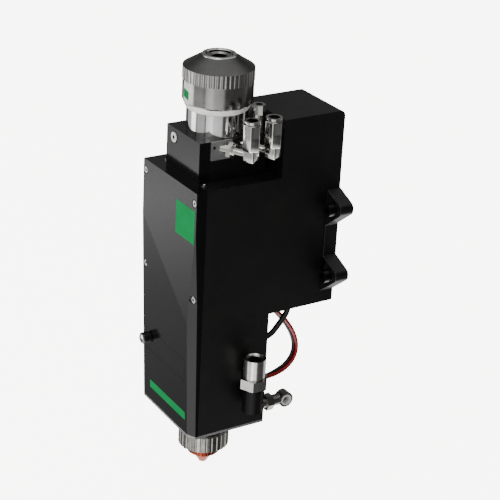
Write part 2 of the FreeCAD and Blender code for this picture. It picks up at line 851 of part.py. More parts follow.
def make_nozzle_end():
    piece(turned("holder", "Z", ("0", "0"), [
        ("seat_radius", "seat_radius", "shell_low", "shell_low + seat_depth"),
        ("neck_radius", "neck_radius", below("ring_high", "0.5"), "shell_low + 0.5"),
        ("thread_radius", "thread_radius", below("ring_low", "ring_lip + ceramic_flange"), "body_low - 1"),
        ("beam_radius - running", "beam_radius - running", "shell_low", "slot_floor - 1.5")],
        [("holder_bore", "holder_bore", "body_low - ring_low - 1", "slot_floor")]),
        "nozzle_holder")
    piece(turned("ceramic", "Z", ("0", "0"), [
        ("thread_radius - 0.1", "thread_radius - 0.1", below("ring_low", "ring_lip"),
         below("ring_low", "ring_lip + ceramic_flange")),
        ("ceramic_radius", "ceramic_radius", below("ceramic_foot"), below("ring_low", "ring_lip + 0.5"))],
        [("nozzle_thread + running", "nozzle_thread + running", "0", "body_low")]),
        "ceramic_ring")
    knurled = fluted("lock_bar", "ring_radius", "body_low - ring_low", "ring_low - ring_high",
                     "1.1", "0.5", "ring_knurls")
    piece(cut("lock_cut", knurled, [
        rod("lock_thread", "Z", "thread_radius + running", below("ring_low", "ring_lip - 0.05"), "body_low"),
        rod("lock_mouth", "Z", "ceramic_radius + loose", "0", "body_low"),
        rod("lock_relief", "Z", "neck_radius + loose", below("ring_high"), "body_low")]),
        "lock_ring")
    flange = fluted("nozzle_bar", "nozzle_flange", "body_low - flange_foot", "flange_foot - ceramic_foot - 0.05",
                    "0.8", "0.3", "24")
    taper = cone("nozzle_taper", "Z", "tip_radius", "cone_radius", "0", "body_low - flange_foot")
    shank = rod("nozzle_shank", "Z", "nozzle_thread", "body_low - flange_foot",
                below("ring_low", "ring_lip + ceramic_flange - 0.5"))
    bores = [
        rod("orifice", "Z", "orifice_radius", "-1", "5"),
        cone("nozzle_cone", "Z", "orifice_radius", "4.4", "2.4", "body_low - flange_foot + 4"),
        rod("nozzle_bore", "Z", "4.4", "body_low - flange_foot + 4 - 0.01", "body_low"),
    ]
    piece(cut("nozzle_cut", fuse("nozzle_solid", [flange, taper, shank]), bores), "nozzle")


# Collimator block and fibre connector

def port_line(index):
    """Base point of a water port on the block's side face, as formulas."""
    return ("block_half", f"port_y + {index} * port_pitch", "port_z")


def oblique(solid, index):
    """Stands a piece built along its own X axis at a water port, turned outwards."""
    x, y, z = port_line(index)
    solid.Placement = Placement(Vector(), Rotation(Vector(0, 0, 1), 1))
    bind(solid, "Placement.Rotation.Angle", "port_turn")
    bind(solid, "Placement.Base.x", x)
    bind(solid, "Placement.Base.y", y)
    bind(solid, "Placement.Base.z", z)
    return solid


def port_hole(name, index):
    hole = doc.addObject("Part::MultiFuse", name)
    hole.Shapes = [rod(name + "_rod", "X", "port_neck + 0.02", "-port_depth", "port_hex_out + 1"),
                   rod(name + "_end", "X", "port_neck - 1", "-port_depth - 0.5", "-port_depth + 0.5")]
    return oblique(hole, index)


def make_collimator_block():
    rear = block("block_rear", ("-block_half", "block_half"), ("block_plate - block_front", "block_rear"),
                 ("block_low", "block_high"))
    tools = [rod("block_hole", "Z", "block_bore", "block_low - 1", "block_high + 1"),
             rod("plug_thread", "Z", "3.52", "block_high - 8", "block_high + 1", ("plug_x", "plug_y"))]
    tools += [port_hole(f"block_port{index}", index) for index in (0, 1)]
    piece(cut("block_cut", rear, tools), "collimator_block")
    plate = block("block_face", ("-block_half", "block_half"), ("-block_front", "block_plate - block_front - face_joint"),
                  ("block_low", "block_high"))
    centre = ("centring_x", "block_low + centring_height")
    piece(cut("plate_cut", plate, [
        rod("centring_hole", "Y", "centring_radius + running", "-block_front - 1",
            "-block_front + centring_depth + 0.1", centre)]),
        "block_front_plate")
    screw = rod("centring_head", "Y", "centring_radius", "-block_front - centring_rise",
                "-block_front + centring_depth", centre)
    socket = hexagon("centring_well", "Y", "centring_socket", "-block_front - 1", "-block_front + 2", centre)
    piece(cut("centring_cut", screw, [socket]), "centring_screw")
    group("top_screws", flat_screws("top_screw", "Z", top_screw_centres(), "body_high + top_screw_rise", "-",
                                    "top_screw_head", "top_screw_shank", "top_screw_length", "top_screw_rise"))
    piece(turned("cell", "Z", ("0", "0"),
                 [("block_bore - 0.02", "block_bore - 0.02", "block_low + cell_start", "block_low + cell_end")],
                 [("lens_radius - 1", "lens_radius - 1", "block_low", "block_high"),
                  ("lens_radius", "lens_radius", "cell_lens_low", "block_high")]),
          "lens_cell")
    piece(lens("collimating", "cell_lens_low"), "collimating_lens")
    piece(turned("cell_ring", "Z", ("0", "0"),
                 [("lens_radius - 0.02", "lens_radius - 0.02", "block_low + cell_ring_low",
                   "block_low + cell_ring_high")],
                 [("lens_radius - lens_ring_width", "lens_radius - lens_ring_width", "block_low", "block_high")]),
          "lens_cell_ring")


def lens(name, level):
    """A lens with two curved faces, its edge resting at a named level."""
    radius = size("lens_radius") - 0.02
    edge = size("lens_edge")
    bulge = size("lens_bulge")
    land = radius - size("lens_land")
    low = size(level)
    curve = (radius * radius + bulge * bulge) / (2 * bulge)
    lower = Part.makeSphere(curve, Vector(0, 0, low - bulge + curve))
    upper = Part.makeSphere(curve, Vector(0, 0, low + edge + bulge - curve))
    disc = Part.makeCylinder(radius, edge + 2 * bulge, Vector(0, 0, low - bulge))
    flat_low = Part.makeCylinder(land, 2 * bulge, Vector(0, 0, low - 2 * bulge))
    solid = doc.addObject("Part::Feature", name + "_shape")
    core = disc.common(lower).common(upper)
    rim = Part.makeCylinder(radius, edge, Vector(0, 0, low))
    middle = Part.makeCylinder(land, edge + 4 * bulge, Vector(0, 0, low))
    inner = core.common(flat_low.fuse(rim).fuse(middle))
    solid.Shape = inner.Solids[0]
    return solid


def make_connector():
    piece(turned("base", "Z", ("0", "0"),
                 [("base_radius", "base_radius", "block_high", "base_high")],
                 [("fibre_radius + fibre_channel", "fibre_radius + fibre_channel", "block_high - 1", "base_high + 1")]),
          "connector_base")
    piece(turned("core", "Z", ("0", "0"), [
        ("core_radius", "core_radius", "base_high", "connector + cap_low - 1.5"),
        ("nose_radius", "nose_radius", "connector + cap_low - 2", "connector + nose_top - nose_edge"),
        ("nose_radius", "nose_radius - nose_edge", "connector + nose_top - nose_edge", "connector + nose_top")],
        [("nose_bore", "nose_bore", "base_high - 1", "connector + nose_top + 1"),
         ("nose_bore", "nose_bore + nose_edge", "connector + nose_top - nose_edge",
          "connector + nose_top + 0.01")]),
        "fibre_receptacle")
    piece(turned("insert", "Z", ("0", "0"), [
        ("nose_bore - 0.02", "nose_bore - 0.02", "base_high", "insert_top - insert_groove"),
        ("insert_lip", "insert_lip", "insert_top - insert_groove - 0.5", "insert_top")],
        [("fibre_radius", "fibre_radius", "base_high - 1", "connector + nose_top"),
         ("fibre_radius", "fibre_radius + insert_lead", "insert_top - insert_lead", "insert_top + 0.01")]),
        "fibre_insert")
    band = fluted("band_bar", "band_radius", "connector + band_low", "cap_low - band_low", "2.2", "0.35",
                  "band_flutes")
    smooth = turned("smooth", "Z", ("0", "0"), [
        ("base_radius + 0.1", "sleeve_radius", "connector + 0.1", "connector + sleeve_start"),
        ("sleeve_radius", "sleeve_radius", "connector + sleeve_start", "connector + band_low + 0.5")])
    flat = block("sleeve_flat", ("24", "30"), ("-8", "8"), ("connector + 2", "connector + band_low"))
    turn = Rotation(Vector(0, 0, 1), 258)
    flat.Placement.Rotation = turn
    for letter, text in (("x", "24 * cos(258) + 8 * sin(258)"), ("y", "24 * sin(258) - 8 * cos(258)")):
        bind(flat, f"Placement.Base.{letter}", text)
    piece(cut("sleeve_cut", fuse("sleeve_solid", [band, smooth]), [
        rod("sleeve_bore", "Z", "core_radius + running", "connector - 1", "connector + cap_high"), flat]),
        "connector_sleeve")
    piece(turned("cap", "Z", ("0", "0"), [
        ("band_radius - 0.1", "nose_radius + 0.3", "connector + cap_low", "connector + cap_high")],
        [("nose_radius + loose", "nose_radius + loose", "connector", "connector + nose_top"),
         ("core_radius + running", "core_radius - 2", "connector + cap_low - 0.01", "connector + cap_low + 1")]),
        "sleeve_cap")


# Water ports

def make_water_port(index, name):
    stem = cut(f"{name}_stem_cut", fuse(f"{name}_stem_solid", [
        rod(f"{name}_neck", "X", "port_neck", "-port_depth", "port_hex_out + 0.5"),
        hexagon(f"{name}_hex", "X", "port_flats", "port_hex_out", "port_hex_out + port_hex_length"),
        rod(f"{name}_journal", "X", "port_journal", "port_hex_out + port_hex_length",
            "port_hex_out + port_hex_length + port_journal_length")]),
        [rod(f"{name}_stem_bore", "X", "port_bore", "-port_depth - 1", "elbow_out")])
    piece(oblique(stem, index), f"{name}_stem")
    arm_start = "port_hex_out + port_hex_length + 0.1"
    half = "elbow_side / 2"
    solid = fuse(f"{name}_elbow_solid", [
        rod(f"{name}_arm", "X", "elbow_arm", arm_start, "elbow_out"),
        block(f"{name}_knuckle", (f"elbow_out - {half}", f"elbow_out + {half}"), (f"-{half}", half),
              (f"-{half}", half)),
        rod(f"{name}_socket", "Z", "socket_radius", f"{half} - 0.5", "socket_top", ("elbow_out", "0"))])
    elbow = cut(f"{name}_elbow_cut", solid, [
        rod(f"{name}_bearing", "X", "port_journal + running", "0",
            "port_hex_out + port_hex_length + port_journal_length + 0.3"),
        rod(f"{name}_arm_bore", "X", "port_bore", "0", "elbow_out"),
        rod(f"{name}_drop", "Z", "port_bore + 0.5", "0", "socket_top", ("elbow_out", "0")),
        rod(f"{name}_bore", "Z", "socket_bore", "socket_top - socket_depth", "socket_top + 1",
            ("elbow_out", "0"))])
    piece(oblique(elbow, index), f"{name}_elbow")
    collet = turned(f"{name}_collet_turned", "Z", ("elbow_out", "0"), [
        ("socket_bore - running", "socket_bore - running", "socket_top - 9", "socket_top + collet_rise"),
        ("collet_rim", "collet_rim", "socket_top + collet_rise",
         "socket_top + collet_rise + collet_rim_height")],
        [("tube_radius", "tube_radius", "socket_top - 10", "socket_top + 5")])
    piece(oblique(collet, index), f"{name}_collet")


def make_port_plate():
    plate = block("plate_slab", ("block_half", "block_half + plate_thickness"),
                  ("-plate_front", "plate_length - plate_front"), ("block_high - plate_height", "block_high"))
    piece(cut("port_plate_cut", plate, [
        port_hole("plate_port", 0),
        rod("plate_screw_hole", "X", "1.3", "block_half - 1", "block_half + 3",
            ("2.4 - plate_front", "port_z + 1.6"))]), "port_plate")


def make_water_plug():
    centre = ("plug_x", "plug_y")
    solid = fuse("plug_solid", [
        rod("plug_shank", "Z", "3.5", "block_high - 8", "block_high + 0.5", centre),
        rod("plug_neck_rod", "Z", "plug_neck", "block_high", "block_high + plug_height - plug_hex + 0.5", centre),
        hexagon("plug_head", "Z", "plug_flats", "block_high + plug_height - plug_hex",
                "block_high + plug_height", centre)])
    piece(cut("plug_cut", solid, [
        hexagon("plug_socket", "Z", "5", "block_high + plug_height - 4", "block_high + plug_height + 1",
                centre)]), "water_plug")


# Gas ports

def make_gas_ports():
    centre = ("gas_x", "gas_y")
    middle = "body_low + (gas_low + gas_high) / 2"
    solid = fuse("gas_block_solid", [
        rod("gas_drum", "Z", "gas_radius", "body_low + gas_low", "body_low + gas_high", centre),
        rod("gas_stub_rod", "X", "gas_stub", "side_x", "gas_x", ("gas_y", middle))])
    piece(cut("gas_block_cut", solid, [
        rod("gas_cross", "X", "gas_channel", "side_x - 1", "gas_x", ("gas_y", middle)),
        rod("gas_down", "Z", "gas_channel", middle, "body_low + gas_high + 1", centre),
        rod("branch_port", "Y", "branch_radius - 1.2 + 0.02", "gas_y + 3", "gas_y + gas_radius + 1",
            ("gas_x", "gas_z"))]), "gas_block")
    gas_hex = hexagon("gas_hex", "Z", "gas_flats", "hex_low", "hex_high", centre)
    gas_hex.Placement.Rotation = Rotation(Vector(0, 0, 1), 26)
    fitting = fuse("gas_fitting_solid", [
        rod("gas_collar_rod", "Z", "gas_collar", "body_low + gas_high", "hex_low", centre),
        gas_hex,
        rod("gas_barrel_rod", "Z", "gas_barrel", "hex_high - 0.5", "gas_mouth", centre)])
    piece(cut("gas_fitting_cut", fitting, [
        rod("gas_through", "Z", "gas_channel", "body_low", "gas_mouth", centre),
        rod("gas_mouth_bore", "Z", "gas_bore", "gas_mouth - gas_bore_depth", "gas_mouth + 1", centre),
        cone("gas_lead_in", "Z", "gas_bore", "gas_bore + 1.2", "gas_mouth - 1", "gas_mouth + 0.01", centre),
        block("gas_rim_notch", ("gas_x - gas_notch / 2", "gas_x + gas_notch / 2"), ("gas_y", "gas_y + 20"),
              ("gas_mouth - 2.5", "gas_mouth + 1"))]), "gas_fitting")
    piece(turned("gas_collet_turned", "Z", centre, [
        ("gas_bore - running", "gas_bore - running", "gas_mouth - 12", "gas_mouth - gas_collet_sink")],
        [("gas_tube", "gas_tube", "gas_mouth - 13", "gas_mouth")]), "gas_collet")

    line = ("gas_x", "gas_z")
    stem = fuse("branch_stem_solid", [
        rod("branch_thread", "Y", "branch_radius - 1.2", "gas_y + 3.5", "branch_hex_start + 0.5", line),
        rod("branch_seat", "Y", "branch_radius", "gas_y + gas_radius", "branch_hex_start + 0.5", line),
        hexagon("branch_hex", "Y", "branch_flats", "branch_hex_start", "branch_hex_end", line),
        rod("branch_journal", "Y", "branch_radius - 1.2", "branch_hex_end", "branch_hex_end + 5", line)])
    piece(cut("branch_stem_cut", stem, [
        rod("branch_stem_bore", "Y", "1.6", "gas_y", "branch_y", line)]), "branch_stem")
    across = ("branch_y", "gas_z")
    elbow = fuse("branch_elbow_solid", [
        rod("branch_arm", "Y", "branch_radius + 0.2", "branch_hex_end + 0.1", "branch_y", line),
        rod("branch_barrel_rod", "X", "branch_barrel", "gas_x + branch_front - branch_length",
            "gas_x + branch_front", across)])
    piece(cut("branch_elbow_cut", elbow, [
        rod("branch_bearing", "Y", "branch_radius - 1.2 + running", "gas_y", "branch_hex_end + 5.2", line),
        rod("branch_arm_bore", "Y", "1.6", "gas_y", "branch_y", line),
        rod("branch_mouth", "X", "branch_bore", "gas_x + branch_front - branch_length + 1.6",
            "gas_x + branch_front + 1", across)]), "branch_elbow")
    piece(turned("branch_collet_turned", "X", across, [
        ("branch_bore - running", "branch_bore - running", "gas_x + branch_front - branch_length + 3",
         "gas_x + branch_front + 0.6")],
        [("branch_tube", "branch_tube", "gas_x - branch_length", "gas_x + branch_front + 2")]), "branch_collet")


# Focusing drive

def make_focus_drive():
    rods = [rod("guide_rod", "Z", "rod_radius", "chamber_floor - rod_seat", "chamber_roof + rod_seat",
                (f"{sign}rod_spread", "0")) for sign in ("-", "")]
    group("guide_rods", rods)
    low = "body_low + carriage_low"
    high = "body_low + carriage_low + carriage_height"
    solid = fuse("carriage_solid", [
        block("carriage_bar", ("-rod_spread - rod_radius - 2", "rod_spread + rod_radius + 2"), ("-8", "8"),
              (low, high)),
        rod("carriage_drum", "Z", "barrel_radius", "body_low + barrel_low", "body_low + barrel_high"),
        block("carriage_arm", ("screw_x - arm_width / 2", "screw_x + arm_width / 2"), ("5", "screw_y + 10"),
              ("arm_low", "arm_high"))])
    tools = [
        rod("carriage_bore", "Z", "lens_radius - 1", "body_low + barrel_low - 1", "body_low + barrel_high + 1"),
        rod("carriage_lens_seat", "Z", "lens_radius", "focus_lens_low", "body_low + barrel_high + 1"),
        rod("nut_hole", "Z", "nut_radius + 0.02", "arm_low - 1", "arm_high + 1", ("screw_x", "screw_y")),
    ]
    for sign in ("-", ""):
        tools.append(rod("carriage_rod_hole", "Z", "rod_radius + running", f"{low} - 1", f"{high} + 1",
                         (f"{sign}rod_spread", "0")))
    piece(cut("carriage_cut", solid, tools), "lens_carriage")
    piece(lens("focus", "focus_lens_low"), "focus_lens")
    piece(turned("focus_ring", "Z", ("0", "0"),
                 [("lens_radius - 0.02", "lens_radius - 0.02", "body_low + barrel_low + lens_ring_low",
                   "body_low + barrel_low + lens_ring_high")],
                 [("lens_radius - lens_ring_width", "lens_radius - lens_ring_width", "body_low + barrel_low",
                   "body_low + barrel_high")]),
          "focus_lens_ring")
    centre = ("screw_x", "screw_y")
    piece(turned("nut", "Z", centre, [
        ("nut_radius", "nut_radius", "arm_low - 3", "arm_high + 0.5"),
        ("nut_flange", "nut_flange", "arm_high", "arm_high + 3")],
        [("screw_radius + running", "screw_radius + running", "arm_low - 4", "arm_high + 4")]), "lead_nut")
    bearing_top = "bay_floor + bearing_height"
    coupling_top = "motor_low - motor_plate - 1"
    coupling_low = f"{coupling_top} - coupling_length"
    piece(turned("bearing", "Z", centre, [("bearing_radius", "bearing_radius", "bay_floor", bearing_top)],
                 [("bearing_bore + running", "bearing_bore + running", "bay_floor + 0.5", f"{bearing_top} + 1")]),
          "screw_bearing")
    piece(turned("lead", "Z", centre, [
        ("bearing_bore", "bearing_bore", "bay_floor + 0.6", f"{bearing_top} + 0.2"),
        ("screw_radius", "screw_radius", f"{bearing_top} + 0.2", coupling_low)]), "lead_screw")
    piece(turned("coupling", "Z", centre, [
        ("coupling_radius", "coupling_radius", coupling_low, coupling_top),
        ("shaft_radius", "shaft_radius", coupling_top, "motor_low + shaft_rise")]), "shaft_coupling")
    side = "motor_side / 2"
    shelf = block("shelf", ("bay_left", "bay_right"), ("bay_front", f"screw_y + {side}"),
                  ("motor_low - motor_plate", "motor_low"))
    piece(cut("shelf_cut", shelf, [rod("shelf_opening", "Z", "shelf_hole", "motor_low - 10", "motor_low + 1", centre)]),
          "motor_shelf")
    motor = block("motor_case", (f"screw_x - {side}", f"screw_x + {side}"),
                  (f"screw_y - {side}", f"screw_y + {side}"), ("motor_low", "bay_roof"))
    piece(cut("motor_cut", motor, [
        rod("motor_hole", "Z", "shaft_radius + running", "motor_low - 1", "motor_low + shaft_rise + 0.1", centre)]), "focus_motor")


# Mounting ears

def make_ears(node, right):
    """One bracket: two rounded three-cornered ears on a thin strip, beside the rear box."""
    body = doc.addObject("PartDesign::Body", node + "_body")
    wall = "side_x" if right else "-box_left"
    way = "+" if right else "-"

    def corner(out, height):
        return (f"{wall} {way} {out}", f"body_low + ear_hole_height + {height}")

    outline = []
    for lift in ("0", "ear_pitch"):
        outline.append(corner("0" if lift == "0" else "ear_strip", f"{lift} - ear_drop"
                              if lift == "0" else f"{lift} - ear_drop + ear_strip * 0.8"))
        outline.append(corner("ear_reach", f"{lift} - ear_tip_drop"))
        outline.append(corner("ear_reach", f"{lift} + ear_tip_rise"))
        outline.append(corner("ear_strip" if lift == "0" else "0", f"{lift} + ear_rise - ear_strip * 0.5"
                              if lift == "0" else f"{lift} + ear_rise"))
    sketch = outline_sketch(body, "XZ_Plane", node + "_outline", outline)
    bind(sketch, "AttachmentOffset.Base.z", "-ear_front")
    padded(body, sketch, node + "_pad", "ear_thickness", reverse=True)
    doc.recompute()
    tip = size("side_x") + size("ear_reach") if right else -size("box_left") - size("ear_reach")
    rounded(body, node + "_tips", "ear_round", edges_at(body.Shape, "y", x=tip))
    holes = [rod(f"{node}_hole", "Y", "bolt_radius + 0.3", "ear_front - 1", "ear_back + 1",
                 (f"{wall} {way} ear_hole_out", f"body_low + ear_hole_height + {lift}"))
             for lift in ("0", "ear_pitch")]
    piece(cut(node + "_cut", body, holes), node)


def make_ear_bolts():
    bolts = []
    for wall in ("side_x + ear_hole_out", "-box_left - ear_hole_out"):
        for lift in ("0", "ear_pitch"):
            centre = (wall, f"body_low + ear_hole_height + {lift}")
            count = len(bolts)
            solid = fuse(f"bolt_solid{count}", [
                rod(f"bolt_head{count}", "Y", "bolt_head", "ear_front - bolt_head_height", "ear_front", centre),
                rod(f"bolt_shank{count}", "Y", "bolt_radius", "ear_front", "ear_front + bolt_length", centre)])
            socket = hexagon(f"bolt_socket{count}", "Y", "5", "ear_front - bolt_head_height - 1",
                             "ear_front - bolt_head_height / 2", centre)
            bolts.append(cut(f"bolt{count}", solid, [socket]))
    group("mounting_bolts", bolts)


def make_side_knob():
    centre = ("side_knob_y", "body_low + side_knob_height")
    piece(turned("side_screw", "X", centre, [
        ("side_knob_radius - side_knob_bevel", "side_knob_radius", "-side_x - side_knob_length",
         "-side_x - side_knob_length + side_knob_bevel"),
        ("side_knob_radius", "side_knob_radius", "-side_x - side_knob_length + side_knob_bevel", "-side_x - loose"),
        ("side_knob_shank", "side_knob_shank", "-side_x - loose", "-side_x + side_knob_depth")]), "side_knob")


# Wires between the rear box and the foot of the body

WIRE_X = 20
WIRE_TOP_Y = 44
WIRE_END_HEIGHT = 26.5
CABLE_X = 28
CABLE_TOP_Y = 53
CABLE_END_HEIGHT = 66

# Each route is a list of points: across, back, and height above the body's foot
RED_ROUTE = [(21, 44, 94.6), (21, 44, 88.4), (21, 48.2, 81.6), (21, 54.6, 75.2), (21, 60.8, 67),
             (21, 66, 57.5), (21, 68.6, 47.5), (21, 66.8, 38), (21, 60.5, 31), (21, 52, 27.6),
             (21, 43.5, 26.6), (21, 35.5, 26.5), (21, 26.4, 26.5)]
BLACK_ROUTE = [(18.6, 44, 94.6), (18.6, 44, 88.2), (18.6, 47.4, 81.2), (18.6, 53.4, 74.4), (18.6, 59.5, 66.3),
               (18.6, 64.6, 57.1), (18.6, 67.2, 47.6), (18.6, 65.5, 38.8), (18.6, 59.6, 32.2),
               (18.6, 51.5, 28.9), (18.6, 43.2, 26.7), (18.6, 35.2, 26.5), (18.6, 26.4, 26.5)]
CABLE_ROUTE = [(28, 53, 94.6), (28, 53, 87.5), (28, 52.2, 84.1), (28, 50.6, 81), (28, 41.1, 69.7),
               (28, 37.4, 67.3), (28, 33.2, 66), (28, 26.4, 66)]


def tube_along(name, route, radius):
    """A round tube of straight runs and tangent arcs, each arc as large as its runs allow."""
    points = [Vector(x, y, size("body_low") + height) for x, y, height in route]
    edges = []
    start = points[0]
    radii = []
    for before, corner, after in zip(points, points[1:], points[2:]):
        inward = corner - before
        outward = after - corner
        trim = 0.45 * min(inward.Length, outward.Length)
        half_turn = inward.getAngle(outward) / 2
        radii.append(trim / math.tan(half_turn))
        inward.normalize()
        outward.normalize()
        enter = corner - inward * trim
        leave = corner + outward * trim
        middle = (enter + leave) * 0.5
        towards = (corner - middle)
        towards.normalize()
        sagitta = radii[-1] * (1 - math.cos(half_turn))
        edges.append(Part.LineSegment(start, enter).toShape())
        edges.append(Part.Arc(enter, middle + towards * sagitta, leave).toShape())
        start = leave
    edges.append(Part.LineSegment(start, points[-1]).toShape())
    path = Part.Wire(edges)
    heading = points[1] - points[0]
    ring = Part.Wire([Part.Circle(points[0], heading, radius).toShape()])
    tube = path.makePipeShell([ring], True, False)
    share = tube.Volume / (math.pi * radius * radius * path.Length)
    print(f"{name}: length {path.Length:.1f}, tightest radius {min(radii):.1f}, volume share {share:.4f}")
    solid = doc.addObject("Part::Feature", name + "_tube")
    solid.Shape = tube
    return solid


def make_wires():
    piece(tube_along("red_wire", RED_ROUTE, size("wire_radius")), "red_wire")
    piece(tube_along("black_wire", BLACK_ROUTE, size("wire_radius")), "black_wire")
    piece(tube_along("motor_cable", CABLE_ROUTE, size("cable_radius")), "motor_cable")
    glands = []
    pair = [("21", "wire_radius"), ("18.6", "wire_radius")]
    single = [(str(CABLE_X), "cable_radius")]
    for count, (axis, start, end, centre) in enumerate(gland_seats()):
        low, high = (("box_floor - gland_rise", "box_floor + gland_depth") if axis == "Z" else
                     ("rear_reach - gland_depth", "rear_reach + gland_rise"))
        bores = [rod(f"gland_bore{count}_{place}", axis, f"{bore} + loose", f"{low} - 1", f"{high} + 1",
                     (place, centre[1])) for place, bore in (single if count % 2 else pair)]
        glands.append(cut(f"gland{count}", rod(f"gland_rod{count}", axis, "gland_radius", low, high, centre),
                          bores))
    group("wire_glands", glands)


make_main_housing()
make_front_cover()
make_cover_screws()
make_foot_plate()
make_rear_lid()
make_case_screws()
make_drawer()
make_upper_window()
make_nozzle_end()
make_collimator_block()
make_connector()
make_port_plate()
make_water_port(0, "front_water")
make_water_port(1, "rear_water")
make_water_plug()
make_gas_ports()
make_focus_drive()
make_ears("right_bracket", True)
make_ears("left_bracket", False)
make_ear_bolts()
make_side_knob()
make_wires()
doc.recompute()

# Check every object, then write each sub-part

failed = [item.Label for item in doc.Objects if "Invalid" in item.State or "Error" in item.State]
if failed:
    raise RuntimeError(f"These did not build: {failed}")
for item in NODES:
    shape = item.Shape
    if shape.isNull() or not shape.isValid() or not shape.Solids:
        raise RuntimeError(f"{item.Label} has no valid solid")

os.makedirs("parts", exist_ok=True)
for item in NODES:
    item.Shape.exportStep(f"parts/{item.Label}.step")
print(len(NODES), "sub-parts written")
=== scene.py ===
from math import cos, pi, radians, sin

import bmesh
import bpy
from mathutils import Matrix, Vector
from mathutils.bvhtree import BVHTree


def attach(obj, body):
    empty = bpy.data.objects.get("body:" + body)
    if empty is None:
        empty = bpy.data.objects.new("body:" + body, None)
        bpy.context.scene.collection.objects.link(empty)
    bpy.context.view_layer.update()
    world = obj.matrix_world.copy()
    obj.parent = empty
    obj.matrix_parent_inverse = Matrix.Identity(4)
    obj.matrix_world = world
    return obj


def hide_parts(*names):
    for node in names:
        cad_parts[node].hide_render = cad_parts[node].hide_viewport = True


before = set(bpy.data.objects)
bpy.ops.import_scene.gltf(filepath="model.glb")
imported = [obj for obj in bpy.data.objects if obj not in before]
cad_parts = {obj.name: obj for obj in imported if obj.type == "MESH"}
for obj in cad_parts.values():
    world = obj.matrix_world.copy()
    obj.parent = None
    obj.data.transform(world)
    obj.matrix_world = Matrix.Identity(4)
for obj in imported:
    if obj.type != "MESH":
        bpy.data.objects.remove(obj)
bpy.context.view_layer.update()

MM = 0.001
FOOT = 47 * MM          # height of the main body's foot over the nozzle tip
COVER_FACE = -37.3 * MM  # front face of the front cover


# Small helpers

def linear(colour):
    """The linear values, with alpha, of an sRGB hex colour."""
    parts = [int(colour[start:start + 2], 16) / 255 for start in (1, 3, 5)]
    return [*(part / 12.92 if part <= 0.04045 else ((part + 0.055) / 1.055) ** 2.4 for part in parts), 1]


def add_node(tree, kind, settings=None, links=None):
    """Adds a node. A setting is a property of it or the value of a socket, and a link feeds a socket."""
    node = tree.nodes.new(kind)
    for name, value in (settings or {}).items():
        if isinstance(name, str) and hasattr(node, name):
            setattr(node, name, value)
        else:
            node.inputs[name].default_value = value
    for name, source in (links or {}).items():
        tree.links.new(source, node.inputs[name])
    return node


def start_finish(name, metallic=0.0, ior=None):
    """A new material with its shader and the place on the piece, in metres."""
    material = bpy.data.materials.new(name)
    material.use_nodes = True
    tree = material.node_tree
    shader = tree.nodes["Principled BSDF"]
    shader.inputs["Metallic"].default_value = metallic
    if ior:
        shader.inputs["IOR"].default_value = ior
    return material, tree, shader, add_node(tree, "ShaderNodeTexCoord").outputs["Object"]


def clouded(tree, place, patch_mm, stretch=(1, 1, 1), detail=3):
    """Soft patches of a real size, from 0 to 1, longer along an axis that is stretched."""
    turned = add_node(tree, "ShaderNodeMapping", {"Scale": [1 / side for side in stretch]}, {"Vector": place})
    noise = add_node(tree, "ShaderNodeTexNoise",
                     {"Scale": 1 / (patch_mm * MM), "Detail": detail, "Roughness": 0.55},
                     {"Vector": turned.outputs["Vector"]})
    return noise.outputs["Fac"]


def between(tree, factor, dark, light):
    """A colour that runs from dark to light with the factor."""
    low, high = 0.3, 0.7
    ramp = add_node(tree, "ShaderNodeMapRange", {"From Min": low, "From Max": high}, {"Value": factor})
    mix = add_node(tree, "ShaderNodeMix", {"data_type": "RGBA", 6: linear(dark), 7: linear(light)},
                   {0: ramp.outputs["Result"]})
    return mix.outputs[2]


def spread(tree, factor, low, high):
    """A number that runs from low to high with the factor."""
    ramp = add_node(tree, "ShaderNodeMapRange",
                    {"From Min": 0.25, "From Max": 0.75, "To Min": low, "To Max": high}, {"Value": factor})
    return ramp.outputs["Result"]


def worked(name, dark, light, metallic, smooth, rough, patch_mm, grain_mm, grain_depth_mm,
           stretch=(1, 1, 1), ior=None):
    """A worked surface: two close colours in patches, a range of gloss, and a fine grain in relief."""
    material, tree, shader, place = start_finish(name, metallic, ior)
    patches = clouded(tree, place, patch_mm)
    grain = clouded(tree, place, grain_mm, stretch)
    tree.links.new(between(tree, patches, dark, light), shader.inputs["Base Color"])
    tree.links.new(spread(tree, grain, smooth, rough), shader.inputs["Roughness"])
    relief = add_node(tree, "ShaderNodeBump", {"Strength": 0.6, "Distance": grain_depth_mm * MM},
                      {"Height": grain})
    tree.links.new(relief.outputs["Normal"], shader.inputs["Normal"])
    return material


# Camera, at the photograph's place

def make_camera():
    """The photograph's camera: 57 degrees round to the right, 24 degrees up, rolled 3 degrees."""
    data = bpy.data.cameras.new("camera")
    data.lens = 120.75
    data.sensor_width = 36
    data.clip_start = 0.05
    place = (0.966168, -0.593693, 0.696356)
    camera = bpy.data.objects.new("camera", data)
    bpy.context.scene.collection.objects.link(camera)
    right = Vector((0.525982, 0.849140, 0.048005))
    up = Vector((-0.374262, 0.180406, 0.909605))
    forward = Vector((-0.763722, 0.496403, -0.412691))
    turn = Matrix((right, up, -forward)).transposed()
    camera.matrix_world = Matrix.Translation(place) @ turn.to_4x4()
    bpy.context.scene.camera = camera


make_camera()


# Finishes. Grain finer than about 0.6 mm doesn't show at this size, so finer grain is drawn 0.6 to 1.6 mm
# wide.

# Aluminium, bead blasted and dyed black in the anodising bath: satin, nearly black, faintly cloudy.
# The blast grain is 0.1 mm and is drawn 1.4 mm wide. The IOR, here and on the matt dye, is under that of the
# real oxide, to keep the sheen as dim as it looks in the photograph.
housing_black = worked("black_anodised_blasted", "#090909", "#10100F", metallic=0.0, smooth=0.36,
                       rough=0.46, patch_mm=22, grain_mm=1.4, grain_depth_mm=0.008, ior=1.4)

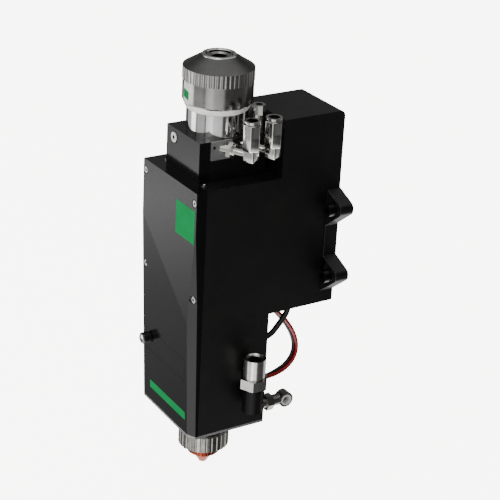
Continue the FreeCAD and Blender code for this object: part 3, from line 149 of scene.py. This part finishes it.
# Rough blasted and dyed black: matt. The same finish is the painted shade in the screws' sockets and gaps.
matt_black = worked("black_anodised_matt_and_painted_shade", "#040404", "#070706", metallic=0.0, smooth=0.36, rough=0.46,
                    patch_mm=8, grain_mm=1.0, grain_depth_mm=0.012, ior=1.25)

# The same dye on milled and polished plates: smoother, so that it mirrors dimly.
cover_black = worked("black_anodised_polished", "#0A0A0A", "#111110", metallic=0.0, smooth=0.13,
                     rough=0.18, patch_mm=30, grain_mm=1.6, grain_depth_mm=0.002, ior=1.5)

# Black anodised bar, turned: close rings of gloss round the piece.
turned_black = worked("black_anodised_turned", "#0B0B0B", "#141413", metallic=0.0, smooth=0.25, rough=0.4,
                      patch_mm=9, grain_mm=0.8, grain_depth_mm=0.01, stretch=(6, 6, 1), ior=1.5)

# Clear anodised aluminium sheet, brushed along its length: pale grey with fine lines.
plate_grey = worked("clear_anodised_plate", "#8E8F8F", "#A0A1A0", metallic=0.65, smooth=0.38, rough=0.5,
                    patch_mm=14, grain_mm=0.8, grain_depth_mm=0.006, stretch=(14, 1, 1))

# Steel screws and bolts, blackened in hot oxide: dark, a little oily.
black_steel = worked("black_oxide_steel", "#141414", "#20201F", metallic=0.8, smooth=0.2, rough=0.32,
                     patch_mm=3, grain_mm=0.6, grain_depth_mm=0.006)

# Zinc plated screws: drawn paler and less metallic than real zinc, to match the photograph.
bright_zinc = worked("bright_zinc_plated_steel", "#E9E9E6", "#F6F6F3", metallic=0.45, smooth=0.2,
                     rough=0.3, patch_mm=3, grain_mm=0.6, grain_depth_mm=0.004)

# Stainless steel screws, polished: bright, with faint swirls.
polished_steel = worked("polished_stainless_steel", "#D6D7D6", "#EAEAE8", metallic=1.0, smooth=0.12,
                        rough=0.2, patch_mm=4, grain_mm=0.7, grain_depth_mm=0.002)

# Brass fittings, nickel plated over turned metal: warm bright grey with fine turning rings.
nickel = worked("nickel_plated_brass", "#BFBEB9", "#D6D5D0", metallic=1.0, smooth=0.09, rough=0.17,
                patch_mm=6, grain_mm=0.6, grain_depth_mm=0.003, stretch=(5, 5, 1))

# The knurled locking ring, in the same plating over rolled knurls: drawn darker than the plain nickel.
knurled_nickel = worked("nickel_plated_knurl", "#82817D", "#98978F", metallic=1.0, smooth=0.16,
                        rough=0.28, patch_mm=4, grain_mm=0.6, grain_depth_mm=0.004, stretch=(5, 5, 1))

# Nickel over a blasted and threaded surface: a duller, greyer shine.
blasted_nickel = worked("nickel_plated_blasted", "#7E7D79", "#93928D", metallic=1.0, smooth=0.28,
                        rough=0.4, patch_mm=3, grain_mm=0.6, grain_depth_mm=0.012)

# Release ring of moulded acetal resin: pale grey, smooth.
pale_acetal = worked("moulded_pale_acetal", "#C9C9C6", "#D6D6D3", metallic=0.0, smooth=0.3, rough=0.4,
                     patch_mm=4, grain_mm=0.6, grain_depth_mm=0.003, ior=1.48)

# A nearly white, hardly metallic skin on the bevel under the connector's sleeve: a painted highlight that
# stands in for the bright reflection there. It is drawn whiter and less metallic than real aluminium, to
# match the photograph.
painted_highlight_white = worked("bevel_painted_highlight", "#F2F2F0", "#FBFBF9", metallic=0.1, smooth=0.4, rough=0.5,
                       patch_mm=5, grain_mm=0.6, grain_depth_mm=0.003, ior=1.5)

# Aluminium turned on a lathe and clear anodised: satin, silver. Its rings, about 0.4 mm apart, are drawn
# 0.9 mm apart.
satin_aluminium = worked("turned_clear_anodised_aluminium", "#8F8D8B", "#A3A19F", metallic=1.0,
                         smooth=0.14, rough=0.24, patch_mm=16, grain_mm=0.9, grain_depth_mm=0.003,
                         stretch=(12, 12, 1))

# Aluminium turned and polished: brighter and smoother.
bright_aluminium = worked("polished_aluminium", "#D0CFCE", "#E2E1E0", metallic=1.0, smooth=0.06,
                          rough=0.12, patch_mm=12, grain_mm=0.9, grain_depth_mm=0.0015,
                          stretch=(12, 12, 1))

# Grey anodised cap: darker satin metal.
cap_grey = worked("grey_anodised_aluminium", "#60605E", "#6E6E6C", metallic=1.0, smooth=0.28, rough=0.38,
                  patch_mm=14, grain_mm=0.9, grain_depth_mm=0.006, stretch=(12, 12, 1))

# Brass, turned: yellow, slightly dulled.
brass = worked("turned_brass", "#B08D4C", "#C9A662", metallic=1.0, smooth=0.22, rough=0.34, patch_mm=6,
               grain_mm=0.6, grain_depth_mm=0.004, stretch=(4, 4, 1))

# Copper nozzle, turned: reddish, with heat tints in patches.
copper = worked("turned_copper", "#7E3324", "#9C4B38", metallic=1.0, smooth=0.2, rough=0.34, patch_mm=5,
                grain_mm=0.6, grain_depth_mm=0.004, stretch=(5, 5, 1))

# Alumina ceramic, fired and ground: white, matt, very fine grain.
ceramic = worked("ground_alumina", "#D9D6CE", "#ECEAE4", metallic=0.0, smooth=0.4, rough=0.5, patch_mm=6,
                 grain_mm=0.7, grain_depth_mm=0.004, ior=1.77)

# Fluororubber seal, moulded: matt and black.
rubber = worked("moulded_rubber", "#101010", "#1A1A1A", metallic=0.0, smooth=0.55, rough=0.68, patch_mm=4,
                grain_mm=0.7, grain_depth_mm=0.008, ior=1.52)

# Glands, moulded in black nylon: faint orange-peel skin.
nylon = worked("moulded_black_nylon", "#0E0E0E", "#171717", metallic=0.0, smooth=0.4, rough=0.52,
               patch_mm=5, grain_mm=0.8, grain_depth_mm=0.01, ior=1.53)

# Wire coverings of extruded vinyl: soft shine, streaks along the wire.
red_vinyl = worked("extruded_red_vinyl", "#96050A", "#B2080D", metallic=0.0, smooth=0.3, rough=0.4,
                   patch_mm=6, grain_mm=0.9, grain_depth_mm=0.006, ior=1.53)
black_vinyl = worked("extruded_black_vinyl", "#0B0B0B", "#151515", metallic=0.0, smooth=0.34, rough=0.44,
                     patch_mm=6, grain_mm=0.9, grain_depth_mm=0.006, ior=1.53)

# Label film of polyester, printed in one even colour: the white with a slight sheen, the green nearly matt,
# with an IOR under the real one to keep its sheen as low as in the photograph.
white_film = worked("white_polyester_film", "#E9E9E6", "#F3F3F1", metallic=0.0, smooth=0.3, rough=0.4,
                    patch_mm=18, grain_mm=1.5, grain_depth_mm=0.002, ior=1.6)
green_film = worked("green_polyester_film", "#008244", "#008E4B", metallic=0.0, smooth=0.4, rough=0.5,
                    patch_mm=18, grain_mm=1.5, grain_depth_mm=0.002, ior=1.12)


def make_lens_glass():
    """Fused silica with an anti-reflection coating: clear, with a faint blue sheen."""
    material, tree, shader, place = start_finish("coated_fused_silica", 0.0, 1.46)
    shader.inputs["Transmission Weight"].default_value = 1
    shader.inputs["Coat Weight"].default_value = 0.3
    shader.inputs["Coat Tint"].default_value = linear("#B9C8FF")
    haze = clouded(tree, place, 6)
    tree.links.new(between(tree, haze, "#E9F0F7", "#F6FAFF"), shader.inputs["Base Color"])
    tree.links.new(spread(tree, haze, 0.02, 0.05), shader.inputs["Roughness"])
    return material


lens_glass = make_lens_glass()

NODE_FINISHES = {
    housing_black: ("main_housing", "rear_cover", "collimator_block", "right_bracket", "left_bracket",
                    "motor_shelf", "lens_cell"),
    matt_black: ("gas_block",),
    cover_black: ("front_cover", "window_drawer", "block_front_plate"),
    turned_black: ("drawer_knob", "upper_window_ring", "focus_lens_ring"),
    plate_grey: ("bottom_plate", "port_plate"),
    black_steel: ("case_screws", "mounting_bolts", "focus_motor"),
    bright_zinc: ("cover_screws", "centring_screw"),
    polished_steel: ("top_screws", "guide_rods", "lead_screw", "screw_bearing", "nozzle_holder", "side_knob"),
    nickel: ("front_water_stem", "front_water_collet", "rear_water_stem", "rear_water_collet", "water_plug",
             "gas_fitting", "gas_collet"),
    blasted_nickel: ("branch_stem", "branch_elbow"),
    knurled_nickel: ("lock_ring",),
    pale_acetal: ("branch_collet",),
    satin_aluminium: ("connector_sleeve", "lens_carriage", "shaft_coupling", "fibre_insert"),
    bright_aluminium: ("connector_base", "fibre_receptacle"),
    cap_grey: ("sleeve_cap",),
    brass: ("lens_cell_ring", "lead_nut"),
    copper: ("nozzle",),
    ceramic: ("ceramic_ring",),
    rubber: ("window_seal",),
    nylon: ("wire_glands",),
    lens_glass: ("collimating_lens", "focus_lens", "upper_window", "protective_window"),
}


def finish_nodes():
    """Gives each CAD node in the table its finish."""
    for finish, names in NODE_FINISHES.items():
        for name in names:
            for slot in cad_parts[name].material_slots:
                slot.material = finish


finish_nodes()


# Wires, each a smooth line through the route's points: x, y and height over the body's foot, in millimetres

RED_ROUTE = [(21, 44, 94.6), (21, 44, 88.4), (21, 48.2, 81.6), (21, 54.6, 75.2), (21, 60.8, 67),
             (21, 66, 57.5), (21, 68.6, 47.5), (21, 66.8, 38), (21, 60.5, 31), (21, 52, 27.6),
             (21, 43.5, 26.6), (21, 35.5, 26.5), (21, 26.4, 26.5)]
BLACK_ROUTE = [(18.6, 44, 94.6), (18.6, 44, 88.2), (18.6, 47.4, 81.2), (18.6, 53.4, 74.4), (18.6, 59.5, 66.3),
               (18.6, 64.6, 57.1), (18.6, 67.2, 47.6), (18.6, 65.5, 38.8), (18.6, 59.6, 32.2),
               (18.6, 51.5, 28.9), (18.6, 43.2, 26.7), (18.6, 35.2, 26.5), (18.6, 26.4, 26.5)]
CABLE_ROUTE = [(28, 53, 94.6), (28, 53, 87.5), (28, 52.2, 84.1), (28, 50.6, 81), (28, 41.1, 69.7),
               (28, 37.4, 67.3), (28, 33.2, 66), (28, 26.4, 66)]


def make_wire(name, node, route, radius_mm, finish):
    """One insulated wire that hangs between two glands."""
    curve = bpy.data.curves.new(name, "CURVE")
    curve.dimensions = "3D"
    curve.bevel_depth = radius_mm * MM
    curve.bevel_resolution = 6
    curve.resolution_u = 16
    spline = curve.splines.new("NURBS")
    spline.points.add(len(route) - 1)
    for point, (x, y, height) in zip(spline.points, route):
        point.co = (x * MM, y * MM, height * MM + FOOT, 1)
    spline.order_u = 3
    spline.use_endpoint_u = True
    curve.materials.append(finish)
    wire = bpy.data.objects.new(name, curve)
    bpy.context.scene.collection.objects.link(wire)
    x, y, height = route[0]
    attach(wire, "housing")
    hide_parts(node)


# Drawn thicker than their solids, as wide as they look in the photograph. The red and black ones run a little
# into each other, and all three a little into the walls of their glands.
make_wire("red_lead", "red_wire", RED_ROUTE, 1.5, red_vinyl)
make_wire("black_lead", "black_wire", BLACK_ROUTE, 1.4, black_vinyl)
make_wire("motor_lead", "motor_cable", CABLE_ROUTE, 2.2, black_vinyl)


# Brackets, milled, with their sharp edges broken

def finished(name, mesh_in_work, finish, body, smooth_angle=35):
    """Makes an object of a bmesh: one finish, normals outwards, faces smoothed up to an angle."""
    bmesh.ops.recalc_face_normals(mesh_in_work, faces=mesh_in_work.faces)
    mesh = bpy.data.meshes.new(name)
    mesh_in_work.to_mesh(mesh)
    mesh_in_work.free()
    mesh.materials.append(finish)
    mesh.shade_smooth()
    mesh.set_sharp_from_angle(angle=radians(smooth_angle))
    piece = bpy.data.objects.new(name, mesh)
    bpy.context.scene.collection.objects.link(piece)
    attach(piece, body)
    return piece


def break_edges(node, body, finish, width_mm):
    """Replaces a node by the same solid with a small bevel along its sharp edges."""
    sharp_angle = 30
    shape = bmesh.new()
    shape.from_mesh(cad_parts[node].data)
    bmesh.ops.remove_doubles(shape, verts=shape.verts, dist=0.001 * MM)
    piece = finished(f"{node}_milled", shape, finish, body, sharp_angle)
    bevel = piece.modifiers.new("broken_edges", "BEVEL")
    bevel.width = width_mm * MM
    bevel.segments = 2
    bevel.limit_method = "ANGLE"
    bevel.angle_limit = radians(sharp_angle)
    bevel.harden_normals = True
    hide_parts(node)


for bracket in ("right_bracket", "left_bracket"):
    break_edges(bracket, "housing", housing_black, width_mm=0.5)


# Water elbows: a six-sided socket on a small rounded block, with an arm to the stem

# Where the ports leave the collimator block, in millimetres, and how far round from +X their arms point
PORT_PLACES = {"front": (23.4, -8.5, 271.5), "rear": (23.4, 9.5, 271.5)}
PORT_TURN = radians(27)
SOCKET_TURN = radians(20)       # turns the corners of the six-sided sockets


def spun(mesh_in_work, profile_mm, steps, centre=(0, 0, 0), turn=0.0):
    """Spins a closed outline of radius and height, in millimetres, round an upright axis through a centre."""
    existing = set(mesh_in_work.verts)
    corners = [mesh_in_work.verts.new((radius * MM, 0, height * MM)) for radius, height in profile_mm]
    edges = [mesh_in_work.edges.new(pair) for pair in zip(corners, corners[1:] + corners[:1])]
    bmesh.ops.spin(mesh_in_work, geom=corners + edges, cent=(0, 0, 0), axis=(0, 0, 1), angle=2 * pi,
                   steps=steps, use_merge=True)
    bmesh.ops.remove_doubles(mesh_in_work, verts=mesh_in_work.verts, dist=0.001 * MM)
    made = [corner for corner in mesh_in_work.verts if corner not in existing]
    bmesh.ops.rotate(mesh_in_work, verts=made, cent=(0, 0, 0), matrix=Matrix.Rotation(turn, 3, "Z"))
    bmesh.ops.translate(mesh_in_work, verts=made, vec=centre)


def make_water_elbow(side):
    """Replaces the elbow's plain solid by the same fitting with a six-sided socket on its rounded block."""
    block_side, block_round = 8.8, 1.1
    socket_corner, socket_foot, socket_top, socket_round = 6.7, 4.1, 23.6, 0.5
    bore_corner, bore_floor, core_radius = 5.9, 8.6, 2.5
    arm_radius, arm_start, arm_end = 3.2, 9.3, 23.4
    along = Vector((cos(PORT_TURN), sin(PORT_TURN), 0))
    axis = Vector(PORT_PLACES[side]) * MM + along * arm_end * MM
    shape = bmesh.new()
    outline = [(bore_corner, bore_floor), (bore_corner, socket_top - 0.3), (bore_corner + 0.2, socket_top),
               (socket_corner - 0.35, socket_top), (socket_corner, socket_top - 0.5),
               (socket_corner, socket_foot + 0.8), (socket_corner - 0.6, socket_foot),
               (core_radius, socket_foot), (core_radius, bore_floor)]
    spun(shape, outline, 6, axis, SOCKET_TURN)
    upright = [edge for edge in shape.edges if abs(edge.verts[0].co.z - edge.verts[1].co.z) > 10 * MM
               and (edge.verts[0].co.xy - axis.xy).length > (socket_corner - 0.2) * MM]
    bmesh.ops.bevel(shape, geom=upright, offset=socket_round * MM, segments=2, profile=0.5, affect="EDGES",
                    material=-1)
    block = bmesh.ops.create_cube(shape, size=block_side * MM)["verts"]
    edges = list({edge for vertex in block for edge in vertex.link_edges})
    bevel = bmesh.ops.bevel(shape, geom=edges, offset=block_round * MM, segments=3, profile=0.5,
                            affect="EDGES", material=-1)
    block = list({vertex for face in bevel["faces"] for vertex in face.verts}
                 | {vertex for vertex in block if vertex.is_valid})
    arm = bmesh.ops.create_cone(shape, cap_ends=True, segments=32, radius1=arm_radius * MM,
                                radius2=arm_radius * MM, depth=(arm_end - arm_start) * MM)["verts"]
    bmesh.ops.rotate(shape, verts=arm, cent=(0, 0, 0), matrix=Matrix.Rotation(pi / 2, 3, "Y"))
    bmesh.ops.translate(shape, verts=arm, vec=(-(arm_end - arm_start) / 2 * MM, 0, 0))
    bmesh.ops.rotate(shape, verts=block + arm, cent=(0, 0, 0), matrix=Matrix.Rotation(PORT_TURN, 3, "Z"))
    bmesh.ops.translate(shape, verts=block + arm, vec=axis)
    elbow = finished(f"{side}_water_fitting", shape, nickel, f"{side}_swivel")
    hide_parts(f"{side}_water_elbow")


make_water_elbow("front")
make_water_elbow("rear")


# Bright end of the drawer's thumb knob, and painted shade in the sockets and gaps of the screws

def face_forwards(shape, place):
    """Turns what was spun round an upright axis to face the front, at a place."""
    bmesh.ops.rotate(shape, verts=shape.verts, cent=(0, 0, 0), matrix=Matrix.Rotation(pi / 2, 3, "X"))
    bmesh.ops.translate(shape, verts=shape.verts, vec=place)


def make_knob_end():
    """A polished disc let into the knob's end, with a turned rim."""
    radius, height, stand_out = 3.5, 0.45, 4.08
    shape = bmesh.new()
    spun(shape, [(0, 0), (radius, 0), (radius, height - 0.2), (radius - 0.3, height), (0, height)], 40)
    face_forwards(shape, (-28.5 * MM, COVER_FACE - stand_out * MM, 103.5 * MM))
    finished("knob_end", shape, bright_aluminium, "drawer_thumbscrew")


def make_screw_shade(name, body, place_mm, socket_mm, gap_mm, gap_back_mm):
    """Painted shade: a matt black hexagon film on a screw's socket, and a matt black ring in the gap around
    its head.
    """
    socket_film, gap_depth = 0.04, 0.2
    shape = bmesh.new()
    spun(shape, [(0, 0), (socket_mm, 0), (socket_mm, socket_film), (0, socket_film)], 6)
    inside, outside = gap_mm
    face = -gap_back_mm
    spun(shape, [(inside, face - gap_depth), (outside, face - gap_depth), (outside, face), (inside, face)],
         32)
    face_forwards(shape, Vector(place_mm) * MM)
    finished(name, shape, matt_black, body)


make_knob_end()
# Painted shade in the sockets and gaps of the cover screws and the centring screw.
for side, x in (("left", -35.6), ("right", 35.6)):
    make_screw_shade(f"upper_{side}_screw_shade", "housing", (x, -37.1, 238.6), socket_mm=1.05,
                     gap_mm=(2.5, 3.2), gap_back_mm=-0.25)
    make_screw_shade(f"lower_{side}_screw_shade", "housing", (x, -35.3, 163), socket_mm=1.05,
                     gap_mm=(2.5, 2.98), gap_back_mm=0.0)
make_screw_shade("centring_screw_shade", "centring", (-12.2, -28.2, 270.7), socket_mm=1.5,
                 gap_mm=(3.8, 4.6), gap_back_mm=0.72)


# Labels, laid on the faces that carry them

def node_surface(name):
    """The surface of a CAD node, to lay things on."""
    mesh = bmesh.new()
    mesh.from_mesh(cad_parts[name].data)
    surface = BVHTree.FromBMesh(mesh)
    mesh.free()
    return surface


def make_label(name, carrier, centre, across, upwards, width_mm, height_mm, finish, body, lift_mm=0.0):
    """A thin film label, laid back onto the carrier along the line at right angles to the label."""
    columns, rows = 14, 10
    gap, film = 0.02, 0.1
    start_out = 0.02        # how far in front of the carrier the label starts, in metres
    across, upwards = Vector(across).normalized(), Vector(upwards).normalized()
    outwards = across.cross(upwards)
    grid = bmesh.new()
    bmesh.ops.create_grid(grid, x_segments=columns, y_segments=rows, size=0.5)
    bmesh.ops.scale(grid, verts=grid.verts, vec=(width_mm * MM, height_mm * MM, 1))
    turn = Matrix((across, upwards, outwards)).transposed().to_4x4()
    bmesh.ops.transform(grid, verts=grid.verts, matrix=Matrix.Translation(centre) @ turn)
    surface = node_surface(carrier)
    clearance = (gap + lift_mm) * MM
    for vertex in grid.verts:
        hit, _, _, _ = surface.ray_cast(vertex.co + outwards * start_out, -outwards)
        if hit:
            vertex.co = hit + outwards * clearance
    bmesh.ops.recalc_face_normals(grid, faces=grid.faces)
    if sum(face.normal.dot(outwards) for face in grid.faces) < 0:
        bmesh.ops.reverse_faces(grid, faces=grid.faces)
    mesh = bpy.data.meshes.new(name)
    grid.to_mesh(mesh)
    grid.free()
    mesh.materials.append(finish)
    label = bpy.data.objects.new(name, mesh)
    bpy.context.scene.collection.objects.link(label)
    thickness = label.modifiers.new("thickness", "SOLIDIFY")
    thickness.thickness = film * MM
    thickness.offset = 1
    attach(label, body)


RIGHTWARDS, UPWARDS = (1, 0, 0), (0, 0, 1)
make_label("front_label", "front_cover", (23.8 * MM, COVER_FACE, 220.2 * MM), RIGHTWARDS, UPWARDS,
           width_mm=26.4, height_mm=25.6, finish=green_film, body="housing")
make_label("foot_stripe", "front_cover", (0.6 * MM, COVER_FACE, 63.2 * MM), RIGHTWARDS, UPWARDS,
           width_mm=57, height_mm=6.4, finish=green_film, body="housing")

# The sleeve's flat looks 258 degrees round from +X, 24 mm from the beam's axis
FLAT_OUT = Vector((cos(radians(258)), sin(radians(258)), 0))
FLAT_ACROSS = Vector((-FLAT_OUT.y, FLAT_OUT.x, 0))
FLAT_PLACE = FLAT_OUT * 24 * MM
PLATE_PLACE = FLAT_PLACE + FLAT_ACROSS * 1.6 * MM
make_label("sleeve_plate", "connector_sleeve", PLATE_PLACE + Vector((0, 0, 305.9 * MM)), FLAT_ACROSS, UPWARDS,
           width_mm=12.4, height_mm=18.4, finish=white_film, body="lock_sleeve")
make_label("sleeve_mark", "connector_sleeve", PLATE_PLACE + Vector((0, 0, 305.4 * MM)), FLAT_ACROSS, UPWARDS,
           width_mm=10.4, height_mm=6.2, finish=green_film, body="lock_sleeve", lift_mm=0.12)


# Painted highlight on the bevel under the connector's sleeve

def make_sleeve_bevel():
    """A painted highlight: a bright skin on the bevel, from the base's rim out to the sleeve's full width,
    but not on its flat.
    """
    inner, outer, low, high = 22.7, 25.4, 294.6, 299.9
    skin = 0.06
    shape = bmesh.new()
    spun(shape, [(inner, low), (outer, high), (outer + skin, high - skin), (inner + skin, low - skin)], 96)
    bmesh.ops.bisect_plane(shape, geom=shape.verts[:] + shape.edges[:] + shape.faces[:], plane_no=FLAT_OUT,
                           plane_co=FLAT_PLACE, clear_outer=True)
    bmesh.ops.holes_fill(shape, edges=[edge for edge in shape.edges if edge.is_boundary])
    finished("sleeve_bevel", shape, painted_highlight_white, "lock_sleeve")


make_sleeve_bevel()


# Studio: a pale floor, a soft dome of light and one large soft lamp

FLOOR_LIGHT = 7.0        # makes the floor and the backdrop nearly white in the render


def make_floor():
    """A plain pale floor at the nozzle tip, lit evenly."""
    mesh = bpy.data.meshes.new("floor")
    plane = bmesh.new()
    bmesh.ops.create_grid(plane, x_segments=1, y_segments=1, size=6)
    bmesh.ops.translate(plane, verts=plane.verts, vec=(0, 0, -0.3 * MM))
    plane.to_mesh(mesh)
    plane.free()
    floor = bpy.data.objects.new("floor", mesh)
    bpy.context.scene.collection.objects.link(floor)
    material, _, shader, _ = start_finish("pale_studio_floor")
    shader.inputs["Base Color"].default_value = linear("#F4F4F2")
    shader.inputs["Roughness"].default_value = 0.9
    shader.inputs["Specular IOR Level"].default_value = 0.0
    shader.inputs["Emission Color"].default_value = linear("#FDFDFB")
    shader.inputs["Emission Strength"].default_value = FLOOR_LIGHT
    mesh.materials.append(material)
    floor.visible_glossy = False
    floor.visible_diffuse = False


def curve_through(tree, factor, points):
    """A smooth curve through pairs of place, from 0 to 1, and value. The places are set before the values."""
    node = add_node(tree, "ShaderNodeValToRGB", {}, {"Fac": factor})
    line = node.color_ramp
    line.interpolation = "EASE"
    while len(line.elements) < len(points):
        line.elements.new(0.5)
    for element, (place, _) in zip(line.elements, points):
        element.position = place
    for element, (_, value) in zip(line.elements, points):
        element.color = (value, value, value, 1)
    return node.outputs["Color"]


# Brightness of the studio round the object, by compass degrees from +X towards +Y
ROUND_ABOUT = [(-180, 0.08), (-163, 0.05), (-113, 0.05), (-107, 0.4), (-78, 0.4), (-74, 0.06), (-68, 0.8),
               (-50, 1.05), (-40, 0.62), (-14, 0.5), (-6, 0.05), (20, 0.024), (56, 0.024), (98, 0.3),
               (110, 0.03), (140, 0.115), (180, 0.1)]
# A panel ahead on the left, by compass degrees and by height, from -1 straight down to 1 straight up
PANEL_AROUND = [(-172, 0), (-158, 1), (-118, 1), (-112, 0)]
PANEL_BY_HEIGHT = [(-0.62, 0.0), (-0.53, 0.012), (-0.46, 0.05), (-0.42, 0.19), (-0.375, 0.5), (-0.36, 0.18),
                   (0.25, 0.05)]
PANEL_STRENGTH = 3.6
# The bright screen beside it, which only the pieces near the top mirror
SCREEN_AROUND = [(-141, 0), (-136, 1), (-118, 1), (-112, 0)]
SCREEN_BY_HEIGHT = [(-0.356, 0.0), (-0.346, 0.9), (0.05, 0.8), (0.25, 0.0)]
# A dim screen on the right at the same height, for the shaded side of the connector
SHADE_AROUND = [(-6, 0), (12, 1), (70, 1), (95, 0)]
SHADE_SHARE = 0.12


def make_dome():
    """The light round the object. The camera sees a plain bright backdrop in its place."""
    world = bpy.data.worlds.new("dome")
    bpy.context.scene.world = world
    world.use_nodes = True
    tree = world.node_tree
    tree.nodes.clear()
    direction = add_node(tree, "ShaderNodeTexCoord").outputs["Generated"]
    parts = add_node(tree, "ShaderNodeSeparateXYZ", {}, {"Vector": direction}).outputs
    compass = add_node(tree, "ShaderNodeMath", {"operation": "ARCTAN2"}, {0: parts["Y"], 1: parts["X"]})
    turn = add_node(tree, "ShaderNodeMapRange", {"From Min": -pi, "From Max": pi},
                    {"Value": compass.outputs["Value"]}).outputs["Result"]
    height = add_node(tree, "ShaderNodeMapRange", {"From Min": -1, "From Max": 1},
                      {"Value": parts["Z"]}).outputs["Result"]

    def around(points):
        """Brightness by compass degrees."""
        return curve_through(tree, turn, [((degrees + 180) / 360, value) for degrees, value in points])

    def by_height(points):
        """Brightness by height."""
        return curve_through(tree, height, [((level + 1) / 2, value) for level, value in points])

    def shine(first, second, base, strength=1.0):
        """Base, plus the product of two brightnesses at a strength."""
        product = add_node(tree, "ShaderNodeMath", {"operation": "MULTIPLY"}, {0: first, 1: second})
        return add_node(tree, "ShaderNodeMath", {"operation": "MULTIPLY_ADD", 1: strength},
                        {0: product.outputs["Value"], 2: base}).outputs["Value"]

    def fade(low, high, start, end):
        """Brightness that runs from start to end between two heights."""
        levels = {"From Min": low, "From Max": high, "To Min": start, "To Max": end}
        return add_node(tree, "ShaderNodeMapRange", levels, {"Value": parts["Z"]}).outputs["Result"]

    from_below = fade(-0.64, -0.82, 0.0, 2.6)
    from_above = fade(0.55, 0.85, 0.0, 0.6)
    ends = add_node(tree, "ShaderNodeMath", {"operation": "ADD"}, {0: from_below, 1: from_above})
    total = shine(around(ROUND_ABOUT), fade(-0.35, -0.47, 1.5, 3.8), ends.outputs["Value"])
    total = shine(around(PANEL_AROUND), by_height(PANEL_BY_HEIGHT), total, PANEL_STRENGTH)
    total = shine(around(SCREEN_AROUND), by_height(SCREEN_BY_HEIGHT), total, PANEL_STRENGTH)
    total = shine(around(SHADE_AROUND), by_height(SCREEN_BY_HEIGHT), total, SHADE_SHARE)
    light = add_node(tree, "ShaderNodeBackground", {"Color": linear("#FFFFFF")}, {"Strength": total})
    backdrop = add_node(tree, "ShaderNodeBackground", {"Color": linear("#FDFDFB"), "Strength": FLOOR_LIGHT})
    seen = add_node(tree, "ShaderNodeLightPath").outputs["Is Camera Ray"]
    mix = add_node(tree, "ShaderNodeMixShader", {}, {0: seen, 1: light.outputs["Background"],
                                                     2: backdrop.outputs["Background"]})
    add_node(tree, "ShaderNodeOutputWorld", {}, {"Surface": mix.outputs["Shader"]})


def make_lamp(name, place, target, size, power):
    """A large soft lamp that faces the target."""
    data = bpy.data.lights.new(name, "AREA")
    data.shape = "DISK"
    data.size = size
    data.energy = power
    lamp = bpy.data.objects.new(name, data)
    bpy.context.scene.collection.objects.link(lamp)
    lamp.location = place
    lamp.rotation_mode = "QUATERNION"
    lamp.rotation_quaternion = (Vector(target) - Vector(place)).to_track_quat("-Z", "Y")


make_floor()
make_dome()
make_lamp("front_lamp", (0.2, -1.6, 1.7), (0, 0, 0.15), size=0.9, power=22)
